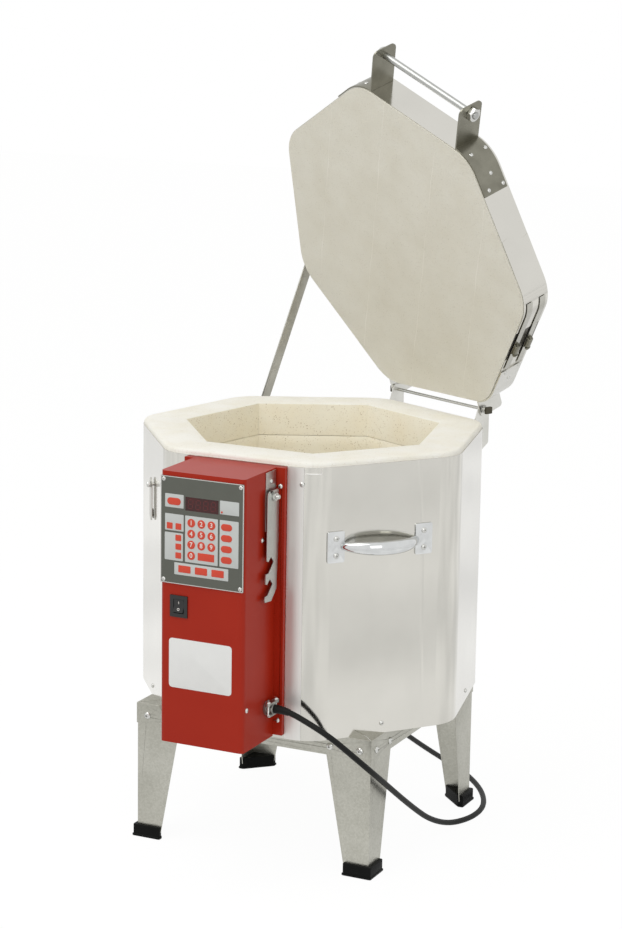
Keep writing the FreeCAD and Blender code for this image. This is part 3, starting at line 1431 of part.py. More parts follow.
def label_plate():
    x = f"({BOX_X[0]} + label_left)"
    z = f"({Z_BOX_TOP} - label_drop)"
    return node(
        "label_plate",
        box(
            "label_sheet",
            (f"{x} - label_wide / 2", f"{x} + label_wide / 2"),
            ("0 - box_front - label_thick", "0 - box_front"),
            (f"{z} - label_high / 2", f"{z} + label_high / 2"),
        ),
    )


def controller_board():
    x = (f"{PANEL_X[0]} + 16", f"{PANEL_X[1]} - 16")
    z = (f"{PANEL_Z[0]} + 16", f"{PANEL_Z[1]} - 16")
    board = box("board_sheet", x, ("12 - box_front", "13.6 - box_front"), z)
    posts = [
        rod(f"board_post_{i}_{j}", "6", "13", placed(px, "13 - box_front", pz, OUTWARD))
        for i, px in enumerate((f"{x[0]} + 5", f"{x[1]} - 5"))
        for j, pz in enumerate((f"{z[0]} + 5", f"{z[1]} - 5"))
    ]
    return node("controller_board", joined("board_piece", board, *posts))


def inside_box(label, x0, x1, z0, z1, deep):
    """A block on the back plate's inner face, x from the box's left side and z from its foot."""
    return node(
        label,
        box(
            label + "_block",
            (f"{BOX_X[0]} + {x0}", f"{BOX_X[0]} + {x1}"),
            (f"0 - {COVER_Y} - {deep}", f"0 - {COVER_Y}"),
            (f"{Z_BOX} + {z0}", f"{Z_BOX} + {z1}"),
        ),
    )


def thermocouple():
    tip = f"({WALL_IN} - probe_in)"
    at = placed("box_shift", f"0 - {tip}", Z_PROBE, OUTWARD)
    sheath = rod("probe_sheath", "probe_size", f"{COVER_Y} - {tip} + 1", at)
    head = rod("probe_head", "22", "18", placed("box_shift", f"0 - {COVER_Y}", Z_PROBE, OUTWARD))
    return node("thermocouple", joined("probe_piece", sheath, head))


control_box_back()
control_box_cover()
control_box_screws()
control_panel()
display_window()
panel_screws()
keypad()
switch_housing()
rocker()
label_plate()
controller_board()
inside_box("relay", "inside_gap", "inside_gap + relay_wide", "130", "190", "32")
inside_box("terminal_block", "2 * inside_gap", "2 * inside_gap + terminal_wide", "16", "36", "24")
thermocouple()


# Notched prop arm on the box's right side, hanging from its bolt.
ARM_X = f"({BOX_X[1]} + strip_thick + prop_off)"


def prop_bracket():
    strip = box(
        "prop_strip",
        (BOX_X[1], f"{BOX_X[1]} + strip_thick"),
        ("0 - strip_y - strip_wide / 2", "strip_wide / 2 - strip_y"),
        (f"{STRIP_Z} - strip_high", STRIP_Z),
    )
    holes = [
        hole("prop_strip_hole", "screw_size", "screw_long", strip_screw_spot()),
        hole("prop_pin_hole", "prop_pin", "10", placed(BOX_X[1], "0 - prop_y", PROP_Z, ALONG_X)),
    ]
    return node("prop_bracket", less("prop_bracket_piece", strip, *holes))


def prop_bolt():
    def nut(name, x):
        hexagon = doc.addObject("Part::Prism", name)
        hexagon.Polygon = 6
        hexagon.setExpression("Circumradius", bound("prop_nut / 2 / cos(30 deg)"))
        hexagon.setExpression("Height", bound("prop_nut_thick"))
        return place(hexagon, placed(x, "0 - prop_y", PROP_Z, ALONG_X))

    inner = f"({BOX_X[1]} - box_wall - prop_nut_thick)"
    outer = f"({ARM_X} + strip_thick + 2 * fit)"
    long = f"{outer} + prop_nut_thick + 5 - {inner}"
    spacer_at = placed(f"{BOX_X[1]} + strip_thick", "0 - prop_y", PROP_Z, ALONG_X)
    shape = joined(
        "prop_bolt_piece",
        rod("prop_shank", "prop_pin", long, placed(inner, "0 - prop_y", PROP_Z, ALONG_X)),
        nut("prop_nut_in", inner),
        rod("prop_spacer", "prop_nut", "prop_off", spacer_at),
        nut("prop_nut_out", outer),
    )
    spot = strip_screw_spot()
    fixing = screw("prop_strip_screw", "screw_size", "screw_long", "screw_head", "screw_head_high", spot)
    return node("prop_bolt", group("prop_bolt_set", shape, fixing))


def prop_arm():
    spots = [
        (-17, 9), (18, 9), (18.5, -58), (19, -88),
        (14.4, -90.2), (6.3, -84.4), (-2.2, -93.3), (12.6, -106.5), (21.5, -106.3), (22.5, -120.1),
        (17.7, -121.8), (8.9, -115.6), (0.4, -124.3), (15.9, -137.5), (22.7, -137.8),
        (24.6, -143.1), (23.2, -146.3), (4.6, -147.9), (-11.6, -133.1), (-13.5, -102.7), (-16.6, -65.7),
    ]
    outline = [(f"0 + ({x})", f"0 + ({y})") for x, y in spots]
    arm = plate("arm_sheet", outline, "strip_thick", ((0, 8), (1, 8)))
    eye = rod("arm_eye", "prop_pin + 2 * hinge_run", "3 * strip_thick", placed(z="0 - strip_thick"))
    at = placed(f"{ARM_X} + fit + strip_thick", "0 - prop_y", PROP_Z, SIDEWAYS)
    return node("prop_arm", less("arm_piece", arm, eye), at)


prop_bracket()
prop_bolt()
prop_arm()


# Power cord from its clamp down to the floor, round behind the stand, with a put-away coil and a plug.
def cable_clamp():
    out = f"({BOX_X[1]} + clamp_out)"
    middle = ("0 - clamp_y", CLAMP_Z)
    shape = joined(
        "clamp_piece",
        rod("clamp_sleeve", "clamp_tube", "clamp_out", placed(BOX_X[1], *middle, ALONG_X)),
        rod("clamp_thread", "clamp_bore + 5", "10", placed(f"{BOX_X[1]} - 9", *middle, ALONG_X)),
        rod("clamp_ring", "clamp_tube + 5", "4", placed(f"{BOX_X[1]} - box_wall - 4", *middle, ALONG_X)),
        box(
            "clamp_bar",
            (f"{out} - 8", out),
            ("0 - clamp_y - 16", "16 - clamp_y"),
            (f"{CLAMP_Z} + 3", f"{CLAMP_Z} + 9"),
        ),
    )
    return node("cable_clamp", shape)


LAY = [
    (84, -266.6, 257.6),
    (100, -265.8, 255),
    (124, -261, 243),
    (153, -248, 222.5),
    (176, -228, 195),
    (196, -205, 167),
    (200, -168, 140),
    (202, -118, 105),
    (203, -60, 66.5),
    (205, -6, 33),
    (213, 48, 10),
    (226, 96, 4.4),
    (229, 140, 4.4),
    (217, 184, 4.4),
    (188, 236, 4.4),
    (144, 287, 4.4),
    (90, 332, 4.4),
    (36, 375, 4.4),
    (-16, 420, 4.4),
    (-52, 452, 4.4),
]
COIL = (-90.0, 530.0)


def cord_points():
    start = V(number(f"{BOX_X[1]} + clamp_out"), -number("clamp_y"), number(CLAMP_Z))
    points = [start] + [V(*p) for p in LAY]
    last = points[-1]
    centre = V(COIL[0], COIL[1], last.z)
    radius = number("coil_mean") / 2
    away = centre - last
    reach = math.sqrt(away.Length ** 2 - radius ** 2)
    side = math.atan2(away.y, away.x) + math.asin(radius / away.Length)
    points.append(V(last.x + reach * math.cos(side), last.y + reach * math.sin(side), last.z))
    return points


def bent_path(points):
    """Straight runs joined by tangent arcs; prints each arc's radius."""
    parts = []
    radii = []
    at = points[0]
    for before, corner, after in zip(points, points[1:], points[2:]):
        first = corner - before
        second = after - corner
        turn = first.getAngle(second)
        reach = 0.45 * min(first.Length, second.Length)
        radii.append(reach / math.tan(turn / 2))
        first.normalize()
        second.normalize()
        into = corner - first * reach
        out = corner + second * reach
        bisector = second - first
        bisector.normalize()
        far = radii[-1] / math.cos(turn / 2) - radii[-1]
        parts.append(Part.LineSegment(at, into).toShape())
        parts.append(Part.Arc(into, corner + bisector * far, out).toShape())
        at = out
    parts.append(Part.LineSegment(at, points[-1]).toShape())
    print("cord arc radii:", ", ".join(f"{r:.0f}" for r in radii))
    return Part.Wire(parts)


def swept(name, points, size):
    path = bent_path(points)
    ring = Part.Wire(Part.Circle(points[0], points[1] - points[0], number(size) / 2).toShape())
    obj = doc.addObject("Part::Feature", name)
    obj.Shape = path.makePipeShell([ring], True, False)
    full = obj.Shape.Volume / (path.Length * math.pi * number(size) ** 2 / 4)
    print(f"{name}: length {path.Length:.0f}, volume {full:.4f} of section")
    return obj


power_cord = swept("power_cord_tube", cord_points(), "cord_size")
node("power_cord", power_cord)

COIL_MIDDLE = "(floor_gap + coil_turns * cord_size / 2)"
PLUG_X = f"({COIL[0]} - plug_lead)"
PLUG_Y = f"({COIL[1]} - coil_mean / 2)"
PLUG_HIGH = "(2 * coil_turns * cord_size / 2 - 1)"


def cord_coil():
    def round_edge(e):
        return e.Curve.TypeId == "Part::GeomCircle"

    centre = (COIL[0], COIL[1], "floor_gap")
    block = less(
        "coil_ring",
        rod("coil_outer", "coil_mean + cord_size", "coil_turns * cord_size", placed(*centre)),
        rod("coil_inner", "coil_mean - cord_size", "2 * coil_turns * cord_size", placed(*COIL, "0 - 5")),
    )
    round_turns = smooth("coil_turns", block, "cord_size * 0.45", round_edge)
    lead = rod(
        "coil_lead",
        "cord_size",
        "plug_lead",
        placed(PLUG_X, PLUG_Y, COIL_MIDDLE, ALONG_X),
    )
    return node("cord_coil", joined("coil_piece", round_turns, lead))


def plug():
    def long_edge(e):
        return abs(e.Vertexes[0].X - e.Vertexes[-1].X) > number("plug_long") / 2

    neck_end = f"({PLUG_X} - plug_neck)"
    body_end = f"({neck_end} - plug_long)"
    body = box(
        "plug_block",
        (body_end, neck_end),
        (f"{PLUG_Y} - plug_wide / 2", f"{PLUG_Y} + plug_wide / 2"),
        (f"{COIL_MIDDLE} - {PLUG_HIGH} / 2", f"{COIL_MIDDLE} + {PLUG_HIGH} / 2"),
    )
    earth_at = placed(f"{body_end} - blade_long", PLUG_Y, f"{COIL_MIDDLE} + 5", ALONG_X)
    parts = [
        smooth("plug_body", body, "6", long_edge),
        rod("plug_relief", "1.7 * cord_size", "plug_neck", placed(neck_end, PLUG_Y, COIL_MIDDLE, ALONG_X)),
        rod("plug_earth", "4.8", "blade_long", earth_at),
    ]
    for i, word in enumerate(("+", "-")):
        parts.append(
            box(
                f"plug_blade_{i}",
                (f"{body_end} - blade_long", body_end),
                (f"{PLUG_Y} {word} 6.3 - 0.8", f"{PLUG_Y} {word} 6.3 + 0.8"),
                (f"{COIL_MIDDLE} - 8", f"{COIL_MIDDLE} - 1.6"),
            )
        )
    return node("plug", joined("plug_piece", *parts))


cable_clamp()
cord_coil()
plug()

doc.recompute()
faulty = [o.Name for o in doc.Objects if "Invalid" in o.State or "Error" in o.State]
if faulty:
    raise RuntimeError("faulty objects: " + ", ".join(faulty))
os.makedirs("parts", exist_ok=True)
for label, obj in NODES.items():
    if obj.Shape.isNull() or not obj.Shape.isValid() or obj.Shape.Volume <= 0:
        raise RuntimeError("unsound shape: " + label)
    obj.Shape.exportStep(f"parts/{label}.step")
print(len(NODES), "parts")
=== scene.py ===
"""Looks of a top-loading electric kiln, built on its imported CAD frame. Lengths are written in millimetres
and turned to metres by MM."""

import bpy
import math
from mathutils import Matrix, Vector


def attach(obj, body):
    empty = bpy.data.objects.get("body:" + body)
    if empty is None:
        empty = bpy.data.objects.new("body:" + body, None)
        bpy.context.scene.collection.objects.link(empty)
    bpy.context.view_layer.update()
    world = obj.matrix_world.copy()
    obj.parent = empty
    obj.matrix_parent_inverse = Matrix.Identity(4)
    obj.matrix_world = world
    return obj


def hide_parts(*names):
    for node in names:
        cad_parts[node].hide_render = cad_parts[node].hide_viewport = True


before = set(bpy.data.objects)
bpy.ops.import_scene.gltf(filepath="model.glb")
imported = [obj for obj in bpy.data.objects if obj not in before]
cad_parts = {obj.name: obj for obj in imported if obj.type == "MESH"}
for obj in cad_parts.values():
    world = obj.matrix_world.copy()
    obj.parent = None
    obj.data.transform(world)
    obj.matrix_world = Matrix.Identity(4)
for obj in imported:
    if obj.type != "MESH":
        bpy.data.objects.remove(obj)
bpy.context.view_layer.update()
MM = 0.001

# Camera, at the photographer's place in front of the kiln and to its right, three quarters of a metre above
# its rim. The lens is long, and the film is shifted by the few pixels by which the picture was cropped.


def placed(name, data):
    """An object that shows that data in the scene."""
    made = bpy.data.objects.new(name, data)
    bpy.context.scene.collection.objects.link(made)
    return made


EYE = Vector((1593.8, -3330.1, 1348.9)) * MM
AIM = Vector((148.0, -347.2, 646.2)) * MM
ROLL = math.radians(0.84)
LONG_SIDE = 929
FOCAL_PIXELS = 2552.7
SHIFT_PIXELS = (10.7, -11.6)
forward = (AIM - EYE).normalized()
level_right = forward.cross(Vector((0, 0, 1))).normalized()
level_up = level_right.cross(forward)
film_right = level_right * math.cos(ROLL) + level_up * math.sin(ROLL)
film_up = level_up * math.cos(ROLL) - level_right * math.sin(ROLL)
lens = bpy.data.cameras.new("camera")
lens.sensor_width = 36.0
lens.lens = FOCAL_PIXELS / LONG_SIDE * lens.sensor_width
lens.shift_x = SHIFT_PIXELS[0] / LONG_SIDE
lens.shift_y = SHIFT_PIXELS[1] / LONG_SIDE
camera = placed("camera", lens)
film = Matrix((film_right, film_up, -forward)).transposed().to_4x4()
camera.matrix_world = Matrix.Translation(EYE) @ film
bpy.context.scene.camera = camera

# Power cord: three cores in a round black synthetic-rubber jacket, 8.4 mm across, about 2 m long.
# It drops from its clamp in a slack bow, runs along the floor behind the stand and ends in a neat coil.
CORD = 8.4
COIL_MIDDLE = Vector((-90.0, 530.0))
COIL_RADIUS = 47.5
LEAD_Y = COIL_MIDDLE.y - COIL_RADIUS
PLUG_NECK = -150.0
PLUG_AXIS = 12.8
ROUTE = [
    (75, -266.6, 257.6),
    (84, -266.6, 257.6),
    (100, -265.8, 255),
    (124, -261, 243),
    (153, -248, 222.5),
    (176, -228, 195),
    (196, -205, 167),
    (200, -168, 140),
    (202, -118, 105),
    (203, -60, 66.5),
    (205, -6, 33),
    (213, 48, 10),
    (226, 96, 4.4),
    (229, 140, 4.4),
    (217, 184, 4.4),
    (188, 236, 4.4),
    (144, 287, 4.4),
    (90, 332, 4.4),
    (36, 375, 4.4),
    (-16, 420, 4.4),
    (-52, 452, 4.4),
]


def linear(code):
    """The linear colour of an sRGB hex code."""
    parts = [int(code[i : i + 2], 16) / 255 for i in (1, 3, 5)]
    return (*[p / 12.92 if p <= 0.04045 else ((p + 0.055) / 1.055) ** 2.4 for p in parts], 1.0)


def add(tree, kind, inputs, **settings):
    """Adds a node: its settings, then its inputs by name or number, each a value or another node's output."""
    made = tree.nodes.new(kind)
    for name, value in settings.items():
        setattr(made, name, value)
    for key, value in inputs.items():
        if isinstance(value, bpy.types.NodeSocket):
            tree.links.new(value, made.inputs[key])
        else:
            made.inputs[key].default_value = value
    return made


def finish_of(name, inputs):
    """A material with its shader's plain values set, its tree, its shader and its place on the piece."""
    material = bpy.data.materials.new(name)
    material.use_nodes = True
    tree = material.node_tree
    shader = tree.nodes["Principled BSDF"]
    for key, value in inputs.items():
        shader.inputs[key].default_value = value
    place = add(tree, "ShaderNodeTexCoord", {}).outputs["Object"]
    return material, tree, shader, place


def per(size):
    """The scale at which a pattern's features are that many millimetres across."""
    return 1000.0 / size


def noise(tree, place, size, detail):
    """Cloudy noise with features that many millimetres across, or with a size for each way for long marks."""
    if isinstance(size, tuple):
        stretch = {"Vector": place, "Scale": [per(side) for side in size]}
        place = add(tree, "ShaderNodeMapping", stretch).outputs[0]
        size = 1000.0
    made = add(tree, "ShaderNodeTexNoise", {"Vector": place, "Scale": per(size), "Detail": detail})
    return made.outputs["Fac"]


def mixed(tree, share, first, second):
    """A colour between two others, each a hex code or a node's output."""
    pair = [linear(colour) if isinstance(colour, str) else colour for colour in (first, second)]
    return add(tree, "ShaderNodeMix", {0: share, 6: pair[0], 7: pair[1]}, data_type="RGBA").outputs[2]


def ranged(tree, value, start, end, low=0.0, high=1.0):
    """A value brought from the range start to end into the range low to high, and kept in it."""
    limits = {"Value": value, "From Min": start, "From Max": end, "To Min": low, "To Max": high}
    return add(tree, "ShaderNodeMapRange", limits).outputs[0]


def relief(tree, height, strength, depth, under=None):
    """A bump that deep in metres, laid over another bump if there is one."""
    inputs = {"Height": height, "Strength": strength, "Distance": depth}
    if under:
        inputs["Normal"] = under
    return add(tree, "ShaderNodeBump", inputs).outputs["Normal"]


def feed(tree, shader, sources):
    """Links node outputs to the shader's inputs of those names."""
    for key, output in sources.items():
        tree.links.new(output, shader.inputs[key])


def finished(name, metal, rough, pattern, dark, light, grain=None, **more):
    """A finish whose colour follows one noise, of a size and a detail, and its roughness too where it is a
    range. A grain gives the surface relief: its size, its detail, its strength and its depth in metres."""
    values = {key.replace("_", " "): value for key, value in more.items()}
    material, tree, shader, place = finish_of(name, {"Metallic": metal, **values})
    cloud = noise(tree, place, *pattern)
    feed(tree, shader, {"Base Color": mixed(tree, cloud, dark, light)})
    if isinstance(rough, tuple):
        feed(tree, shader, {"Roughness": ranged(tree, cloud, 0.0, 1.0, *rough)})
    else:
        shader.inputs["Roughness"].default_value = rough
    if grain:
        bump = relief(tree, noise(tree, place, *grain[:2]), *grain[2:])
        feed(tree, shader, {"Normal": bump, "Coat Normal": bump})
    return material


# Extruded rubber is dull black with a soft sheen; its fine matt grain is drawn 1.5 mm coarse to show.
RUBBER_GRAIN = (1.5, 3.0, 0.5, 0.0002)
CORD_RUBBER = finished(
    "black_rubber_cord", 0.0, 0.5, (60.0, 2.0), "#0c0d0c", "#181917", RUBBER_GRAIN, Specular_IOR_Level=0.22
)

# The route ends on the tangent into the coil, which winds three turns and climbs one cord's height in each.
COIL_TURNS = 3
POINTS_PER_TURN = 16
LAY_RISE = 8.6
CLIMB_FROM = math.radians(268)
CLIMB_DEGREES = 55
CURVE_SHRINK = 0.981
route_end = Vector(ROUTE[-1][:2])
to_coil = COIL_MIDDLE - route_end
tangent = math.sqrt(to_coil.length_squared - COIL_RADIUS**2)
heading = math.atan2(to_coil.y, to_coil.x) + math.asin(COIL_RADIUS / to_coil.length)
touch = route_end + tangent * Vector((math.cos(heading), math.sin(heading)))
first_angle = math.atan2(touch.y - COIL_MIDDLE.y, touch.x - COIL_MIDDLE.x)
travel = (first_angle + 2 * math.pi) - math.radians(270) + COIL_TURNS * 2 * math.pi
coil_points = []
coil_steps = round(travel / (2 * math.pi) * POINTS_PER_TURN)
for i in range(coil_steps + 1):
    gone = travel * i / coil_steps
    turn = (gone - CLIMB_FROM) / (2 * math.pi)
    climb = min(max((turn - math.floor(turn)) * 360 / CLIMB_DEGREES, 0), 1)
    layer = math.floor(turn) + climb * climb * (3 - 2 * climb)
    angle = first_angle - gone
    spot = COIL_MIDDLE + COIL_RADIUS / CURVE_SHRINK * Vector((math.cos(angle), math.sin(angle)))
    coil_points.append((spot.x, spot.y, 4.4 + LAY_RISE * max(layer, 0)))
LEAD = [
    (-106, LEAD_Y, coil_points[-1][2] - 1.5),
    (-121, LEAD_Y, 22),
    (-135, LEAD_Y, 14.6),
    (PLUG_NECK - 4, LEAD_Y, PLUG_AXIS),
]


def spline_of(name, points, diameter):
    """A smooth round cord through the points: a NURBS curve of order 3 from the first to the last."""
    curve = bpy.data.curves.new(name, "CURVE")
    curve.dimensions = "3D"
    curve.resolution_u = 6
    line = curve.splines.new("NURBS")
    line.points.add(len(points) - 1)
    for point, spot in zip(line.points, points):
        point.co = (*[c * MM for c in spot], 1.0)
    line.order_u = 3
    line.use_endpoint_u = True
    curve.bevel_depth = diameter / 2 * MM
    curve.bevel_resolution = 6
    curve.use_fill_caps = True
    return curve


cord_curve = spline_of("power_cord_run", ROUTE + coil_points + LEAD, CORD)
power_cord = placed("power_cord_run", cord_curve)
power_cord.data.materials.append(CORD_RUBBER)
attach(power_cord, "kiln")
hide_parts("power_cord", "cord_coil")

# Cord bushing: a soft rubber sleeve that tapers along the first part of the cord, pinched in the clamp.
# It is moulded in one piece and keeps the cord from kinking where it leaves the clamp.
BUSHING = 24.0


def centreline(curve):
    """The points that a cord's own spline follows, in millimetres."""
    bare = curve.copy()
    bare.bevel_depth = 0
    holder = bpy.data.objects.new("centreline", bare)
    line = bpy.data.meshes.new_from_object(holder)
    points = [v.co / MM for v in line.vertices]
    bpy.data.objects.remove(holder)
    return points


def loft(rings, caps=True):
    """A surface through rings of points: its points and faces."""
    count = len(rings[0])
    points = [Vector(p) for ring in rings for p in ring]
    faces = []
    for i in range(len(rings) - 1):
        for j in range(count):
            a = i * count + j
            b = i * count + (j + 1) % count
            faces.append((a, b, b + count, a + count))
    if caps:
        faces.append(tuple(reversed(range(count))))
        faces.append(tuple(range((len(rings) - 1) * count, len(rings) * count)))
    return points, faces


def turns(around):
    """The angles of that many equal steps round a full turn."""
    return [2 * math.pi * j / around for j in range(around)]


def tube(path, radii, around=16):
    """A tube along a path with a radius for each of its points."""
    rings = []
    lift = Vector((0, 0, 1))
    for i, spot in enumerate(path):
        along = (path[min(i + 1, len(path) - 1)] - path[max(i - 1, 0)]).normalized()
        across = along.cross(lift).normalized()
        over = across.cross(along)
        rings.append([spot + radii[i] * (math.cos(a) * across + math.sin(a) * over) for a in turns(around)])
    return loft(rings)


def put(name, body, parts, material, slot, *stands_for, crease=35.0):
    """Makes one piece of several surfaces drawn in millimetres, on its body and in its finish."""
    points = []
    faces = []
    for some_points, some_faces in parts:
        faces += [tuple(i + len(points) for i in face) for face in some_faces]
        points += [p * MM for p in some_points]
    mesh = bpy.data.meshes.new(name)
    mesh.from_pydata(points, [], faces)
    mesh.validate()
    mesh.polygons.foreach_set("use_smooth", [True] * len(mesh.polygons))
    mesh.set_sharp_from_angle(angle=math.radians(crease))
    mesh.materials.append(material)
    piece = placed(name, mesh)
    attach(piece, body)
    if stands_for:
        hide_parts(*stands_for)
    return piece


run = []
gone = 0.0
for spot in centreline(power_cord.data):
    if run:
        gone += (spot - run[-1]).length
    if gone > BUSHING:
        break
    run.append(spot)
share = [i / (len(run) - 1) for i in range(len(run))]
bushing_radii = [CORD / 2 + 2.2 - 1.6 * s + (0.25 if i % 2 else 0.0) for i, s in enumerate(share)]
bushing = put("cord_bushing", "kiln", [tube(run, bushing_radii, 24)], CORD_RUBBER, "black_rubber")

# Plug: a moulded rubber-like body with a ribbed grip and a collar, two flat blades and a round earth pin.
# The blades are nickel-plated brass and are moulded in with the cord.
NECK_LONG = 15.0
BODY_LONG = 40.0
BLADE_LONG = 19.0


def superellipse(wide, high, power, around=32):
    """A ring in the Y-Z plane, from round at power 2 to nearly square at power 5."""
    ring = []
    for a in turns(around):
        c = math.cos(a)
        s = math.sin(a)
        y = wide / 2 * math.copysign(abs(c) ** (2 / power), c)
        z = high / 2 * math.copysign(abs(s) ** (2 / power), s)
        ring.append((y, z))
    return ring


# Nickel plate on stamped brass is a warm bright metal with faint draw lines.
NICKEL = finished("nickel_plated_brass", 1.0, 0.25, (2.0, 3.0), "#b9b39c", "#d2cdb8")

# The body's outline: how far from its neck, how wide, how high and how square.
SHAPE = [
    (0, 11.5, 11.5, 2),
    (3, 13, 13, 2),
    (12, 15, 14.5, 2.2),
    (15, 17, 16, 2.4),
    (17, 25, 20, 3),
    (21, 29, 23.6, 3.6),
    (26, 27.6, 22.2, 3.6),
    (29, 29.4, 23.8, 3.6),
    (32, 27.6, 22.2, 3.6),
    (35, 29.4, 23.8, 3.6),
    (38, 27.6, 22.2, 3.6),
    (41, 29.6, 24.0, 3.8),
    (51, 29.6, 24.0, 4),
    (54, 28.6, 23.2, 4),
    (55, 27, 21.6, 4),
]
plug_rings = [
    [(PLUG_NECK - far, LEAD_Y + y, PLUG_AXIS + z) for y, z in superellipse(wide, high, power)]
    for far, wide, high, power in SHAPE
]
plug_body = put("plug_body", "kiln", [loft(plug_rings)], CORD_RUBBER, "black_rubber", "plug", crease=50)
face_x = PLUG_NECK - NECK_LONG - BODY_LONG
metal = []
for shift in (-6.3, 6.3):
    blade = []
    for far, trim in ((-2, 0.0), (BLADE_LONG - 2, 0.0), (BLADE_LONG, 0.9)):
        x = face_x - far
        y = LEAD_Y + shift
        low = PLUG_AXIS - 8 + trim
        high = PLUG_AXIS - 1.6 - trim
        wide = 0.8 - trim / 2
        blade.append([(x, y - wide, low), (x, y + wide, low), (x, y + wide, high), (x, y - wide, high)])
    metal.append(loft(blade))
pin_path = [Vector((face_x - far, LEAD_Y, PLUG_AXIS + 5)) for far in (-2, 15, 17.6, 18.6, BLADE_LONG)]
metal.append(tube(pin_path, [2.4, 2.4, 2.1, 1.4, 0.5]))
plug_metal = put("plug_blades", "kiln", metal, NICKEL, "fixings")

# Studio: a pale floor, white surroundings and soft lamps, at a level where a colour renders as it is written.
# The floor keeps a faint shadow, and polished metal sees the same white surroundings as the camera.
# What metal sees of the floor's glow is painted reflection, in soft brighter and darker patches.
FLOOR = 9.0
FLOOR_CORNERS = ((-1, -1), (1, -1), (1, 1), (-1, 1))
floor_mesh = bpy.data.meshes.new("floor")
floor_mesh.from_pydata([(x * FLOOR, y * FLOOR, -0.0003) for x, y in FLOOR_CORNERS], [], [(0, 1, 2, 3)])
placed("floor", floor_mesh)


def calculated(tree, operation, *values):
    """The result of a Math node on one to three values."""
    return add(tree, "ShaderNodeMath", dict(enumerate(values)), operation=operation).outputs[0]


def sharp_rays(tree):
    """The Light Path node, and 1 for a ray of the camera, a reflection or a clear part, 0 for soft light."""
    rays = add(tree, "ShaderNodeLightPath", {})
    seen = calculated(tree, "MAXIMUM", rays.outputs["Is Camera Ray"], rays.outputs["Is Glossy Ray"])
    return rays, calculated(tree, "MAXIMUM", seen, rays.outputs["Is Transmission Ray"])


PAPER = {"Roughness": 0.9, "Base Color": linear("#e9e9e6")}
paper, tree, shader, spread = finish_of("white_paper_floor", PAPER)
rays, seen = sharp_rays(tree)
# Painted reflection: the floor's glow, which only reflections see, rises and falls in patches 700 mm across.
reflected_glow_patches = ranged(tree, noise(tree, spread, 700.0, 1.0), 0.35, 0.65, 0.86, 1.1)
levels = {0: rays.outputs["Is Camera Ray"], 2: reflected_glow_patches, 3: 1.03}
level = add(tree, "ShaderNodeMix", levels, data_type="FLOAT")
white = add(tree, "ShaderNodeEmission", {"Color": (1, 1, 1, 1), "Strength": level.outputs[0]})
amount = calculated(tree, "MULTIPLY", seen, 0.93)
both = add(tree, "ShaderNodeMixShader", {0: amount, 1: shader.outputs[0], 2: white.outputs[0]})
tree.links.new(both.outputs[0], tree.nodes["Material Output"].inputs["Surface"])
floor_mesh.materials.append(paper)

world = bpy.data.worlds.new("studio")
bpy.context.scene.world = world
world.use_nodes = True
sky = world.node_tree
back = sky.nodes["Background"]
back.inputs["Color"].default_value = (1, 1, 1, 1)
sky.links.new(ranged(sky, sharp_rays(sky)[1], 0.0, 1.0, 0.6, 1.0), back.inputs["Strength"])

for lamp_name, spot, size, power in (
    ("top_softbox", (-0.9, -1.4, 3.2), 2.2, 34.0),
    ("front_softbox", (2.2, -2.6, 1.9), 1.8, 16.0),
):
    light = bpy.data.lights.new(lamp_name, "AREA")
    light.size = size
    light.energy = power
    lamp = placed(lamp_name, light)
    lamp.location = spot
    lamp.rotation_mode = "QUATERNION"
    lamp.rotation_quaternion = (Vector((0, 0, 0.5)) - Vector(spot)).to_track_quat("-Z", "Y")
bpy.context.scene.view_settings.view_transform = "Standard"

# Stand: four rails and four tapered angle legs, sheared and folded from 1.2 mm galvanised sheet.
# The legs bolt inside the rails' corners, two screws to each side.
SIDES = ("front", "right", "back", "left")
CORNERS = ("front_left", "front_right", "back_right", "back_left")


def cells(tree, place, size, **settings):
    """Cracked cells about that many millimetres across."""
    return add(tree, "ShaderNodeTexVoronoi", {"Vector": place, "Scale": per(size)}, **settings)


def galvanised_sheet(name, dark, light):
    """Hot-dip zinc on folded sheet: soft grey metal with fine crystals about 2 mm across and long stains."""
    material, tree, shader, place = finish_of(name, {"Metallic": 1.0})
    crystals = add(tree, "ShaderNodeSeparateColor", {"Color": cells(tree, place, 2.2).outputs["Color"]})
    blend = calculated(tree, "MULTIPLY_ADD", crystals.outputs[0], 0.22, 0.0)
    blend = calculated(tree, "MULTIPLY_ADD", noise(tree, place, 90.0, 3.0), 0.8, blend)
    rough = ranged(tree, crystals.outputs[1], 0.0, 1.0, 0.3, 0.4)
    bump = relief(tree, noise(tree, place, 1.4, 2.0), 0.25, 0.0001)
    feed(tree, shader, {"Base Color": mixed(tree, blend, dark, light), "Roughness": rough, "Normal": bump})
    return material


def ease(piece, width):
    """Breaks a piece's sharp edges by that many millimetres, as folding, pressing or handling leaves them."""
    mesh = piece.data
    normals = mesh.attributes.get("custom_normal")
    if normals:
        mesh.attributes.remove(normals)
    mesh.polygons.foreach_set("use_smooth", [True] * len(mesh.polygons))
    weld = piece.modifiers.new("weld", "WELD")
    weld.merge_threshold = 0.00001
    bevel = piece.modifiers.new("edges", "BEVEL")
    bevel.width = width * MM
    bevel.segments = 2
    bevel.limit_method = "ANGLE"
    bevel.angle_limit = math.radians(40.0)
    bevel.harden_normals = True


def dress(names, material, edge=0.0):
    """Gives CAD nodes their finish, and eases their edges to that many millimetres."""
    for name in names:
        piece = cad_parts[name]
        piece.data.materials.clear()
        piece.data.materials.append(material)
        if edge:
            ease(piece, edge)


ZINC_SHEET = galvanised_sheet("galvanised_sheet", "#949387", "#cccbc2")
stand_sheet = [f"stand_rail_{side}" for side in SIDES] + [f"stand_leg_{corner}" for corner in CORNERS]
dress(stand_sheet, ZINC_SHEET, 0.35)
